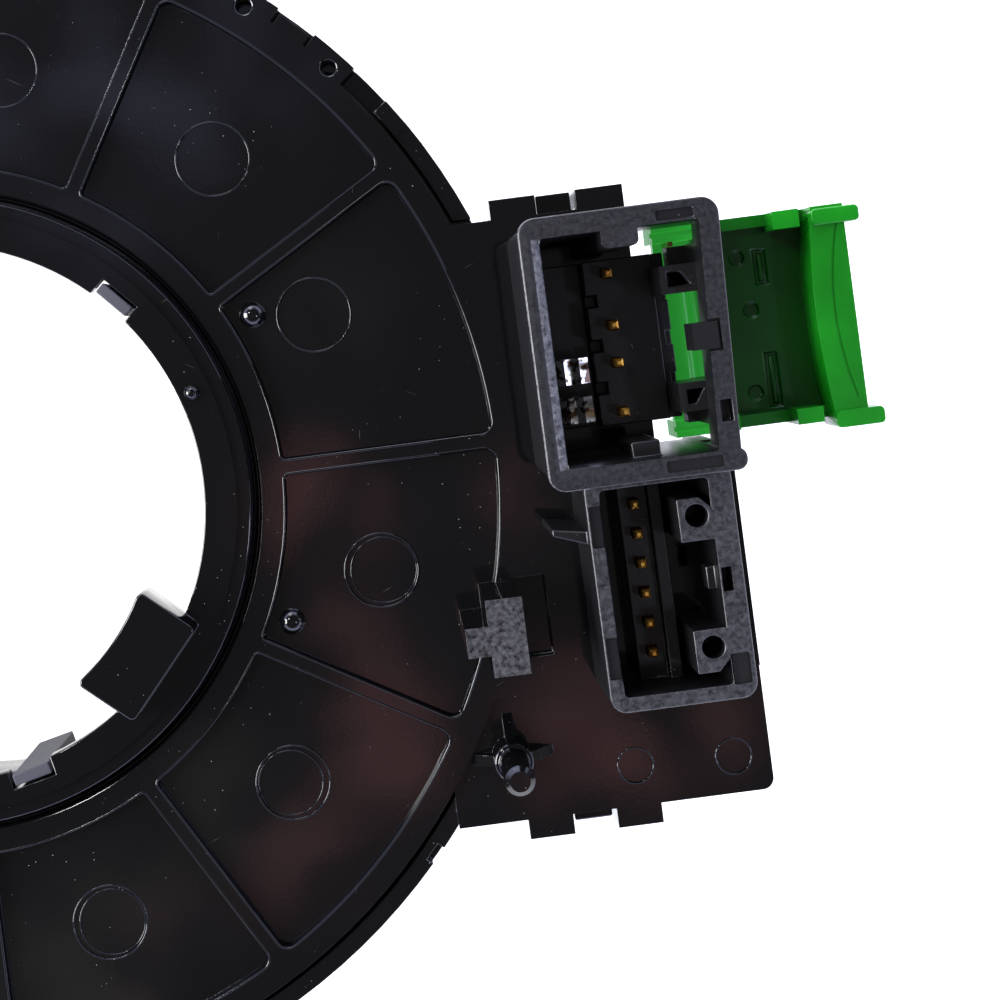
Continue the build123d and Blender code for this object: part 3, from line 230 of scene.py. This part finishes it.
def scratches(tree, place, amount):
    """A few hairline scratches in three directions."""
    hairs = []
    for turn, length in SCRATCH_TURNS_AND_LENGTHS:
        laid = add(tree, "ShaderNodeMapping", {
            "Vector": place,
            "Rotation": (0, 0, turn),
            "Scale": (length * MM, SCRATCH_WIDTH * MM, MM),
        }, vector_type="TEXTURE")
        lines = add(tree, "ShaderNodeTexNoise", {"Vector": laid.outputs[0], "Scale": 1.0, "Detail": 0.0})
        hairs.append(window(tree, lines.outputs[0], 0.91, 0.95, amount))
    return strongest(tree, hairs)


def rubbed_tops_and_highlight(tree, place, tops):
    """How pale each point is rubbed, or painted as a highlight. A top is its height, half thickness,
    paleness and reach in X.
    """
    split = add(tree, "ShaderNodeSeparateXYZ", {0: place})
    grit = add(tree, "ShaderNodeTexNoise", {
        "Vector": place, "Scale": per_metre(0.4), "Detail": 5.0, "Roughness": 0.7})
    rubbed_and_highlit = window(tree, grit.outputs[0], 0.33, 0.66)
    pales = []
    for top, half, paleness, (left, right) in tops:
        middle = (left + right) / 2
        reach = (right - left) / 2
        there = add(tree, "ShaderNodeMath", {
            0: split.outputs["Z"], 1: top * MM, 2: half * MM}, operation="COMPARE").outputs[0]
        beside = add(tree, "ShaderNodeMath", {
            0: split.outputs["X"], 1: middle * MM, 2: reach * MM}, operation="COMPARE").outputs[0]
        both = add(tree, "ShaderNodeMath", {0: there, 1: beside}, operation="MULTIPLY").outputs[0]
        pales.append(add(tree, "ShaderNodeMath", {0: both, 1: paleness}, operation="MULTIPLY").outputs[0])
    pale = strongest(tree, pales)
    return add(tree, "ShaderNodeMath", {0: pale, 1: rubbed_and_highlit}, operation="MULTIPLY").outputs[0]


# %% Black thermoplastics
# the pale of rubbed tops, also used for a painted highlight on one rim
RUBBED_AND_HIGHLIGHT_COLOUR = "#77777a"
DUST_COLOUR = "#b4b2ae"
WORN_ROUGHNESS = 0.4


def moulded_black(name, colour, rough, wave, grain, dusty, tops):
    """Black thermoplastic: its colour, roughness, relief, dust, rubbed tops and a painted highlight."""
    material, tree, place = new_material(name)
    scratched = scratches(tree, place, dusty * 0.2)
    specks = strongest(tree, [dust(tree, place, dusty), scratched])
    rubbed_and_highlit = rubbed_tops_and_highlight(tree, place, tops)
    # mixes in the rubbed pale and the painted highlight
    worn = add(tree, "ShaderNodeMix", {
        0: rubbed_and_highlit, 6: hex_colour(colour), 7: hex_colour(RUBBED_AND_HIGHLIGHT_COLOUR)}, data_type="RGBA")
    shade = add(tree, "ShaderNodeMix", {
        0: specks, 6: worn.outputs[2], 7: hex_colour(DUST_COLOUR)}, data_type="RGBA")
    loose = strongest(tree, [specks, rubbed_and_highlit])
    uneven = add(tree, "ShaderNodeMath", {
        0: loose, 1: WORN_ROUGHNESS, 2: rough}, operation="MULTIPLY_ADD")
    shader = add(tree, "ShaderNodeBsdfPrincipled", {
        "Base Color": shade.outputs[2], "Roughness": uneven.outputs[0], "IOR": 1.5,
        "Normal": relief(tree, place, wave, grain)})
    finish_material(tree, shader)
    return material


ANY = (-200, 200)
RIM_WIDTH = 3.0
TOP_HALF = 0.04
# height and half thickness of the painted highlight on the rim's rounding
ROUNDING_HALF = 0.15
ROUNDING_DROP = 0.2

rim_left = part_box("upper_socket_housing")[0].x / MM
# the X reach of the painted highlight on the left rim
highlit_left_rim = (rim_left, rim_left + RIM_WIDTH)
post_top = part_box("rear_cover")[1].z / MM
upper_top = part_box("upper_socket_housing")[1].z / MM
lower_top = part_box("lower_socket_housing")[1].z / MM
gloss_black = moulded_black(
    "moulded_pbt_glossy", "#070708", rough=0.07, wave=0.05, grain=0.0015, dusty=0.7,
    tops=[(post_top, TOP_HALF, 0.42, ANY)])
satin_black = moulded_black(
    "moulded_nylon_satin", "#0d0d0f", rough=0.34, wave=0.02, grain=0.02, dusty=0.8,
    tops=[
        (upper_top, TOP_HALF, 0.1, ANY),
        # painted highlight: the rounding of the upper housing's left rim is painted pale
        (upper_top - ROUNDING_DROP, ROUNDING_HALF, 1.0, highlit_left_rim),
        (lower_top, TOP_HALF, 0.26, ANY),
    ])

# %% [markdown]
# ## Green acetal: the slide lock
# The lock is acetal, dyed right through, so its thin walls glow a little and its gloss is soft. A little
# subsurface light gives the glow, and a painted glow lights its inner end. Its floor lies deep between the
# walls in the sockets' shade, and painted shade darkens the colour from the walls' tops down.


# %% Coloured mouldings
# painted glow: an emission at the lock's inner end
PAINTED_GLOW_FADE = 0.5
PAINTED_GLOW_STRENGTH = 0.35
PAINTED_GLOW_COLOUR = "#3cc848"


def lock_acetal(name, colour, deep, low, high, inner):
    """Green acetal: pale at the walls' tops, darkened by painted shade on the floor, with a painted glow at
    its inner end.
    """
    material, tree, place = new_material(name)
    split = add(tree, "ShaderNodeSeparateXYZ", {0: place})
    # painted shade: the colour darkens with depth below the walls' tops
    painted_light_by_height = window(tree, split.outputs["Z"], low * MM, high * MM)
    flow = add(tree, "ShaderNodeTexNoise", {"Vector": place, "Scale": per_metre(5), "Detail": 3.0})
    flowed = window(tree, flow.outputs[0], -0.4, 0.6)
    uneven = add(tree, "ShaderNodeMath", {0: painted_light_by_height, 1: flowed}, operation="MULTIPLY").outputs[0]
    tone = add(tree, "ShaderNodeMix", {
        0: uneven, 6: hex_colour(deep), 7: hex_colour(colour)}, data_type="RGBA")
    # painted glow: emission near the inner end, fading over half a millimetre
    painted_glow = window(tree, split.outputs["X"], inner * MM, (inner - PAINTED_GLOW_FADE) * MM, PAINTED_GLOW_STRENGTH)
    grain = add(tree, "ShaderNodeTexNoise", {"Vector": place, "Scale": per_metre(0.5), "Detail": 2.0})
    bump = add(tree, "ShaderNodeBump", {"Height": grain.outputs[0], "Strength": 0.4, "Distance": 0.01 * MM})
    shader = add(tree, "ShaderNodeBsdfPrincipled", {
        "Base Color": tone.outputs[2], "Roughness": 0.24, "IOR": 1.48, "Normal": bump.outputs[0],
        "Subsurface Weight": 0.12, "Subsurface Radius": (0.3, 1.0, 0.3), "Subsurface Scale": 1.0 * MM,
        "Emission Color": hex_colour(PAINTED_GLOW_COLOUR), "Emission Strength": painted_glow})
    finish_material(tree, shader)
    return material


def moulded_colour(name, colour, deep, rough, glow):
    """A dyed moulding: its colour, a deeper tone of it, roughness, and how much light goes into it."""
    material, tree, place = new_material(name)
    flow = add(tree, "ShaderNodeTexNoise", {"Vector": place, "Scale": per_metre(6), "Detail": 3.0})
    grain = add(tree, "ShaderNodeTexNoise", {"Vector": place, "Scale": per_metre(0.35), "Detail": 2.0})
    flowed = window(tree, flow.outputs[0], 0.35, 0.7)
    tone = add(tree, "ShaderNodeMix", {
        0: flowed, 6: hex_colour(colour), 7: hex_colour(deep)}, data_type="RGBA")
    bump = add(tree, "ShaderNodeBump", {"Height": grain.outputs[0], "Strength": 0.5, "Distance": 0.01 * MM})
    shader = add(tree, "ShaderNodeBsdfPrincipled", {
        "Base Color": tone.outputs[2], "Roughness": rough, "IOR": 1.48, "Normal": bump.outputs[0],
        "Subsurface Weight": glow, "Subsurface Radius": (0.3, 1.0, 0.3), "Subsurface Scale": 1.0 * MM})
    finish_material(tree, shader)
    return material


# how far under the lock's top the painted shade is full, and where it starts
FULL_SHADE_DEPTH = 4.9
SHADE_FREE_DEPTH = 1.0
# how far in from the lock's end the painted glow reaches
PAINTED_GLOW_REACH = 4.0

lock_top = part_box("slide_lock")[1].z / MM
lock_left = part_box("slide_lock")[0].x / MM
lock_green = lock_acetal(
    # the second colour is the painted shade of the floor
    "dyed_acetal_green_painted_shade_and_glow", "#159018", "#024205",
    low=lock_top - FULL_SHADE_DEPTH, high=lock_top - SHADE_FREE_DEPTH, inner=lock_left + PAINTED_GLOW_REACH)
pale_acetal = moulded_colour("natural_acetal_grey", "#3c3b42", "#333239", 0.6, 0.0)
socket_yellow = moulded_colour("dyed_pbt_yellow", "#d9b021", "#c99f1b", 0.4, 0.0)
cable_film = moulded_colour("laminated_polyester_film", "#c98a3c", "#b57628", 0.25, 0.0)
slip_film = moulded_colour("ptfe_sheet", "#dcdcd8", "#d0d0cc", 0.35, 0.1)

# %% [markdown]
# ## Metals: gold-plated pins, tinned spring strip and brass
# Pins are drawn square wire with a thin gold plate, the shorting clips are tinned spring strip. Metal
# has no base colour under its shine, so its colour is the reflection's. Fine drawing lines roughen it.


# %% Metals
def drawn_metal(name, colour, stain, rough):
    """Plated strip or wire, with fine lines along its length and a stain where the plating is thin."""
    material, tree, place = new_material(name)
    laid = add(tree, "ShaderNodeMapping", {"Vector": place, "Scale": (1, 1, 0.05)})
    lines = add(tree, "ShaderNodeTexNoise", {
        "Vector": laid.outputs[0], "Scale": per_metre(0.12), "Detail": 2.0})
    patches = add(tree, "ShaderNodeTexNoise", {"Vector": place, "Scale": per_metre(0.7), "Detail": 1.0})
    worn = window(tree, patches.outputs[0], 0.48, 0.56)
    tone = add(tree, "ShaderNodeMix", {
        0: worn, 6: hex_colour(colour), 7: hex_colour(stain)}, data_type="RGBA")
    roughness = add(tree, "ShaderNodeMapRange", {
        "Value": lines.outputs[0], "To Min": rough * 0.6, "To Max": rough * 1.6})
    bump = add(tree, "ShaderNodeBump", {"Height": lines.outputs[0], "Strength": 0.4, "Distance": 0.004 * MM})
    shader = add(tree, "ShaderNodeBsdfPrincipled", {
        "Base Color": tone.outputs[2], "Metallic": 1.0,
        "Roughness": roughness.outputs[0], "Normal": bump.outputs[0]})
    finish_material(tree, shader)
    return material


gold_plate = drawn_metal("gold_plated_wire", "#ffc65c", "#f0a850", 0.4)
tinned_strip = drawn_metal("tinned_spring_strip", "#e4e4de", "#5a4a40", 0.14)
bright_brass = drawn_metal("stamped_brass", "#d8b070", "#b89058", 0.25)

# %% [markdown]
# ## Dressing the solids
# Each solid keeps its shape and gets the material of its slot in the record.

# %% Dressing the solids
SLOT_MATERIALS = {
    "black_gloss": gloss_black,
    "black_matte": satin_black,
    "pale_grey": pale_acetal,
    "green": lock_green,
    "yellow": socket_yellow,
    "brass": bright_brass,
    "gold_pin": gold_plate,
    "spring_steel": tinned_strip,
    "film": cable_film,
    "slip_sheet": slip_film,
}
slots = {part["node"]: part["material_slot"] for part in frame["record"]["subparts"]}
for name, node in nodes.items():
    node.data.materials.clear()
    node.data.materials.append(SLOT_MATERIALS[slots[name]])

# %% [markdown]
# ## Softened edges
# A moulding never has a knife edge: the tool's corners leave a radius of a tenth or two, and that
# radius is what catches the light on black plastic. The flat facets of a solid are first joined into
# whole faces. Sharp edges that touch form a chain, and each chain is rounded by itself, so a small
# feature limits only its own radius. A rounding that squeezes a narrow face can make Blender fill that
# face wrongly, right across a hole, so each chain is tested and gets a smaller radius where it has to.
# Flat faces are shaded flat, and the roundings smooth.


# %% Softened edges
# SHARP, SAME and FLAT are angles between faces. WELD and LEVEL are in mm, SMALL_MISS in mm2.
SHARP = math.radians(32)
SAME = math.radians(0.5)
FLAT = math.radians(0.4)
WELD = 0.002
LEVEL = 0.01
ROOM_FOR_RADIUS = 2.2
WAITING = -1
SMALL_MISS = 0.4
RADIUS_SHARES = (1.0, 0.7, 0.4, 0.2)


def shade_faces(work):
    """Sets smooth shading on faces that belong to a curved surface, and flat shading on the rest."""
    for face in work.faces:
        bends = [edge.calc_face_angle(0) for edge in face.edges if len(edge.link_faces) == 2]
        face.smooth = any(SAME < bend <= SHARP for bend in bends)


def mark_chains(work, width):
    """Numbers the chains of touching sharp edges that have room for a radius, and gives their count."""
    layer = work.edges.layers.int.new("chain")
    for edge in work.edges:
        if len(edge.link_faces) == 2 and edge.calc_face_angle() > SHARP:
            room = min(face.calc_area() for face in edge.link_faces) / max(edge.calc_length(), 1e-9)
            edge.smooth = room > ROOM_FOR_RADIUS * width * MM
            if edge.smooth:
                edge[layer] = WAITING
    count = 0
    for start in work.edges:
        if start[layer] == WAITING:
            count += 1
            start[layer] = count
            reached = [start]
            while reached:
                for corner in reached.pop().verts:
                    for other in corner.link_edges:
                        if other[layer] == WAITING:
                            other[layer] = count
                            reached.append(other)
    return count


def spoilt_area(work):
    """How far the triangles that fill the faces miss the faces' own areas, in square millimetres."""
    work.normal_update()
    work.faces.index_update()
    filled = [0.0] * len(work.faces)
    for loops in work.calc_loop_triangles():
        a, b, c = (loop.vert.co for loop in loops)
        filled[loops[0].face.index] += (b - a).cross(c - a).length / 2
    misses = [abs(filled[face.index] - face.calc_area()) / MM ** 2 for face in work.faces]
    return sum(miss for miss in misses if miss > SMALL_MISS)


def round_chain(work, number, width):
    """Rounds one chain of sharp edges."""
    layer = work.edges.layers.int["chain"]
    edges = [edge for edge in work.edges if edge[layer] == number]
    made = bmesh.ops.bevel(
        work, geom=edges, offset=width * MM, offset_type="OFFSET", segments=3, profile=0.5,
        affect="EDGES", clamp_overlap=True)
    for edge in made["edges"]:
        edge[layer] = 0
    for face in made["faces"]:
        face.smooth = True


def round_chains(work, width):
    """Rounds every chain. Where a radius would spoil a face, a smaller one is tried, and then none."""
    count = mark_chains(work, width)
    spoilt = spoilt_area(work)
    for number in range(1, count + 1):
        for share in RADIUS_SHARES:
            attempt = work.copy()
            round_chain(attempt, number, share * width)
            now = spoilt_area(attempt)
            if now <= spoilt + SMALL_MISS:
                work.free()
                work, spoilt = attempt, now
                break
            attempt.free()
            print("chain", number, "would spoil", round(now - spoilt, 1), "mm2 at", share, "of its radius")
        else:
            layer = work.edges.layers.int["chain"]
            for edge in work.edges:
                if edge[layer] == number:
                    edge.smooth = False
    return work, count


def softened(node_name, width, floor=None, rise=0.0):
    """A copy of a solid with rounded edges stands for it. A groove's floor, found by height, may rise."""
    work = bmesh.new()
    work.from_mesh(nodes[node_name].data)
    bmesh.ops.remove_doubles(work, verts=work.verts, dist=WELD * MM)
    bmesh.ops.dissolve_limit(work, angle_limit=FLAT, verts=work.verts, edges=work.edges)
    for vertex in work.verts:
        if floor is not None and abs(vertex.co.z / MM - floor) < LEVEL:
            vertex.co.z += rise * MM
    shade_faces(work)
    work, count = round_chains(work, width)
    mesh = bpy.data.meshes.new(node_name + "_moulded")
    work.to_mesh(mesh)
    work.free()
    piece = bpy.data.objects.new(node_name + "_moulded", mesh)
    bpy.context.scene.collection.objects.link(piece)
    mesh.materials.append(SLOT_MATERIALS[slots[node_name]])
    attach(piece, nodes[node_name]["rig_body"])
    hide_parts(node_name)
    print(node_name, "softened along", count, "chains to", len(mesh.polygons), "faces")
    return piece


EDGE_RADII = {
    "rear_cover": 0.24,
    "stator_case": 0.2,
    "rotor_ring": 0.16,
    "upper_socket_housing": 0.16,
    "lower_socket_housing": 0.16,
    "upper_terminal_block": 0.1,
    "slide_lock": 0.14,
    "rotor_front": 0.2,
    "cable_hub": 0.12,
}
EAR_RISE = 0.5
CROSS_SLOT_DEPTH = 0.4
CROSS_SLOT_SEEN = 0.1
for name, radius in EDGE_RADII.items():
    if name == "slide_lock":
        slot_floor = lock_top - EAR_RISE - CROSS_SLOT_DEPTH
        softened(name, radius, slot_floor, CROSS_SLOT_DEPTH - CROSS_SLOT_SEEN)
    else:
        softened(name, radius)

# %% [markdown]
# ## The fine lines of the cover
# An ejector pin presses the moulding out of its tool and leaves a round mark with a thin raised line
# about it. Some marks were struck twice, so they have a second line. The brink of each sunk panel has a
# fine bead too, which draws its outline in light. One sweep of a small round section makes them all.


# %% The fine lines of the cover
def bead(work, points, height, thickness, sides=8):
    """Adds a closed bead of round section along flat points. Sizes are in millimetres."""
    rows = []
    for index, point in enumerate(points):
        before, after = Vector(points[index - 1]), Vector(points[(index + 1) % len(points)])
        along = (after - before).normalized()
        across = Vector((along.y, -along.x))
        row = []
        for side in range(sides):
            tilt = math.tau * side / sides
            x, y = Vector(point) + across * thickness * math.cos(tilt)
            row.append(work.verts.new(Vector((x, y, height + thickness * math.sin(tilt))) * MM))
        rows.append(row)
    for index, here in enumerate(rows):
        after = rows[(index + 1) % len(rows)]
        for side in range(sides):
            other = (side + 1) % sides
            work.faces.new((here[side], after[side], after[other], here[other])).smooth = True


def circle(x, y, radius, count=48):
    """Points round a circle."""
    turns = [math.tau * step / count for step in range(count)]
    return [(x + radius * math.cos(turn), y + radius * math.sin(turn)) for turn in turns]


def arc(centre, radius, start, end, count):
    """Points along an arc, with both ends."""
    turns = [start + (end - start) * step / count for step in range(count + 1)]
    return [(centre[0] + radius * math.cos(turn), centre[1] + radius * math.sin(turn)) for turn in turns]


def panel_outline(start_angle):
    """The brink of one sunk panel: a wedge between two radii, with rounded corners."""
    points = []
    for orbit, corner in ((PANEL_REACH[0], PANEL_CORNERS[0]), (PANEL_REACH[1], -PANEL_CORNERS[1])):
        y = RIB_WIDTH / 2 + abs(corner)
        x = math.sqrt((orbit + corner) ** 2 - y ** 2)
        out = math.atan2(y, x)
        if corner > 0:
            points += arc((x, y), corner, out + math.pi, math.tau * 0.75, 5)
        else:
            points += arc((x, y), -corner, -math.pi / 2, out, 7)
            points += arc((0, 0), orbit, out, PANEL_SPAN / 2, 8)[1:]
    flat = [(math.hypot(x, y), math.atan2(y, x)) for x, y in points]
    flat += [(radius, PANEL_SPAN - turn) for radius, turn in reversed(flat[:-1])]
    inner = flat[-1][1] - PANEL_SPAN
    sweep = (PANEL_SPAN + 2 * inner) / INNER_STEPS
    flat += [(PANEL_REACH[0], PANEL_SPAN + inner - sweep * step) for step in range(1, INNER_STEPS)]
    turned = [(radius, turn + start_angle) for radius, turn in flat]
    return [(radius * math.cos(turn), radius * math.sin(turn)) for radius, turn in turned]


PANEL_SPAN = math.radians(30)
PANEL_REACH = (29.8, 48.4)
PANEL_CORNERS = (0.5, 1.1)
INNER_STEPS = 9
RIB_WIDTH = 1.15
PANEL_DEPTH = 0.8
# SUNK is how far a line's middle lies under its face, HALF is half its thickness, both in mm
BRINK_SUNK = 0.09
BRINK_HALF = 0.12
MARK_SUNK = 0.02
MARK_HALF = 0.09
SECOND_SUNK = 0.09
SECOND_HALF = 0.07
BLOCK_MARK_DEPTH = 0.52
BLOCK_MARK_HALF = 0.08
MARK_RADIUS = 3.2
MARK_ORBIT = 38.5
FIRST_MARK = (36.5, 20.4)
STRUCK_TWICE = {345: (2.85, 0.2), 315: (2.8, -0.2), 285: (2.85, 0.2)}
BLOCK_MARKS = ((56.8, -29.5), (65.3, -29.8))
BLOCK_MARK_RADIUS = 1.55
panel_floor = plate_top - PANEL_DEPTH
work = bmesh.new()
for angle in range(15, 375, 30):
    bead(work, panel_outline(math.radians(angle - 15)), plate_top - BRINK_SUNK, BRINK_HALF)
    orbit, turn = FIRST_MARK if angle == 15 else (MARK_ORBIT, angle)
    x, y = orbit * math.cos(math.radians(turn)), orbit * math.sin(math.radians(turn))
    bead(work, circle(x, y, MARK_RADIUS), panel_floor - MARK_SUNK, MARK_HALF)
    if angle in STRUCK_TWICE:
        radius, aside = STRUCK_TWICE[angle]
        bead(work, circle(x + aside, y, radius), panel_floor - SECOND_SUNK, SECOND_HALF)
for x, y in BLOCK_MARKS:
    bead(work, circle(x, y, BLOCK_MARK_RADIUS), plate_top - BLOCK_MARK_DEPTH, BLOCK_MARK_HALF)
line_mesh = bpy.data.meshes.new("cover_fine_lines")
work.to_mesh(line_mesh)
work.free()
line_mesh.materials.append(gloss_black)
cover_lines = bpy.data.objects.new("cover_fine_lines", line_mesh)
bpy.context.scene.collection.objects.link(cover_lines)
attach(cover_lines, nodes["rear_cover"]["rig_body"])
print("fine lines of the cover:", len(line_mesh.polygons), "faces")

# %% [markdown]
# ## The floor
# The photograph's ground is pure white. A pale floor that also gives off light has no dark shadow, as
# on a light table.

# %% The floor
FLOOR_HALF = 1.5
floor_mesh = bpy.data.meshes.new("floor")
corners = [(x * FLOOR_HALF, y * FLOOR_HALF, 0) for x, y in ((-1, -1), (1, -1), (1, 1), (-1, 1))]
floor_mesh.from_pydata(corners, [], [(0, 1, 2, 3)])
floor = bpy.data.objects.new("floor", floor_mesh)
floor.location.z = cad_low.z - 0.2 * MM
bpy.context.scene.collection.objects.link(floor)
paper, tree, place = new_material("white_paper")
sheet = add(tree, "ShaderNodeBsdfPrincipled", {
    "Base Color": hex_colour("#f4f4f4"), "Roughness": 0.9,
    "Emission Color": hex_colour("#ffffff"), "Emission Strength": 1.0})
finish_material(tree, sheet)
floor_mesh.materials.append(paper)

# %% [markdown]
# ## The room
# A glossy black part shows the room more than itself. Its flat faces mirror what hangs over the camera,
# so the zenith is dark, with faint warm and cold patches. A patch is placed by the spot on the object
# that mirrors it. Rounded edges mirror the horizon, so the horizon is bright, and each edge gets its thin
# line of light. One large soft light stands at the left and one behind, and two small ones hang higher.

# %% The room
world = bpy.data.worlds.new("studio")
bpy.context.scene.world = world
world.use_nodes = True
room = world.node_tree
room.nodes.clear()
direction = add(room, "ShaderNodeTexCoord").outputs["Generated"]
split = add(room, "ShaderNodeSeparateXYZ", {0: direction})
ledge = window(room, split.outputs["Z"], 0.62, 0.42, 4.0)
above_floor = window(room, split.outputs["Z"], 0.1, 0.22)
horizon = add(room, "ShaderNodeMath", {0: ledge, 1: above_floor}, operation="MULTIPLY").outputs[0]
clouds = add(room, "ShaderNodeTexNoise", {"Vector": direction, "Scale": 26.0, "Detail": 1.0})
broken = window(room, clouds.outputs[0], 0.42, 0.56)
COLD = "#b8bce8"
WARM = "#f0a0a4"
GREY = "#c8ccc0"
ZENITH = (0.13, 0.13, 0.135)
# across and up from the spot under the lens, radius, all in millimetres, then brightness and colour
PATCHES = (
    (-30, 19, 11, 0.55, COLD), (-16, 24, 9, 0.35, COLD), (-17, 14, 8, 0.2, COLD), (-6, 30, 9, 0.2, COLD),
    (-5, -15, 5, 1.3, WARM), (-3, -27, 4, 1.0, WARM), (1, -35, 5, 1.1, WARM), (-6, -45, 5, 0.8, WARM),
    (17, -34, 6, 0.9, WARM), (26, -34, 6, 0.9, WARM), (12, -13, 4, 0.6, WARM), (-18, -54, 5, 0.5, WARM),
    (-24, -56, 9, 0.4, GREY), (-13, -40, 5, 0.35, GREY), (-4, 2, 6, 0.15, GREY), (-26, 8, 6, 0.2, COLD))
lit = add(room, "ShaderNodeVectorMath", {
    0: hex_colour("#c6cdf4")[:3], 3: horizon}, operation="SCALE").outputs[0]
for across, up, radius, brightness, colour in PATCHES:
    towards = Matrix.Rotation(-OBJECT_TURN, 3, "Z") @ Vector((across, up, VIEW_HEIGHT)).normalized()
    away = add(room, "ShaderNodeVectorMath", {
        0: direction, 1: towards}, operation="DISTANCE").outputs["Value"]
    here = window(room, away, 1.4 * radius / VIEW_HEIGHT, 0.5 * radius / VIEW_HEIGHT, brightness)
    part = add(room, "ShaderNodeMath", {0: here, 1: broken}, operation="MULTIPLY").outputs[0]
    lit = add(room, "ShaderNodeVectorMath", {
        0: hex_colour(colour)[:3], 1: part, 2: lit}, operation="MULTIPLY_ADD").outputs[0]
lit = add(room, "ShaderNodeVectorMath", {0: lit, 1: ZENITH}, operation="ADD").outputs[0]
sky = add(room, "ShaderNodeBackground", {"Color": lit, "Strength": 1.0})
add(room, "ShaderNodeOutputWorld", {"Surface": sky.outputs[0]})


LIGHT_TARGET = Vector((0.03, 0, 0.02))


def soft_light(name, place, size, power, colour="#ffffff"):
    """A square soft light that faces the object."""
    data = bpy.data.lights.new(name, "AREA")
    data.size = size
    data.energy = power
    data.color = hex_colour(colour)[:3]
    light = bpy.data.objects.new(name, data)
    light.location = place
    light.rotation_euler = (LIGHT_TARGET - Vector(place)).to_track_quat("-Z", "Y").to_euler()
    bpy.context.scene.collection.objects.link(light)
    return light


soft_light("left_light", (-0.62, 0.05, 0.38), 0.4, 11.0)
soft_light("back_light", (-0.1, 0.6, 0.35), 0.3, 1.2)
soft_light("small_left_light", (-0.22, 0.22, 0.5), 0.05, 0.5)
soft_light("small_right_light", (0.3, -0.12, 0.5), 0.05, 0.25, "#dfe6ff")
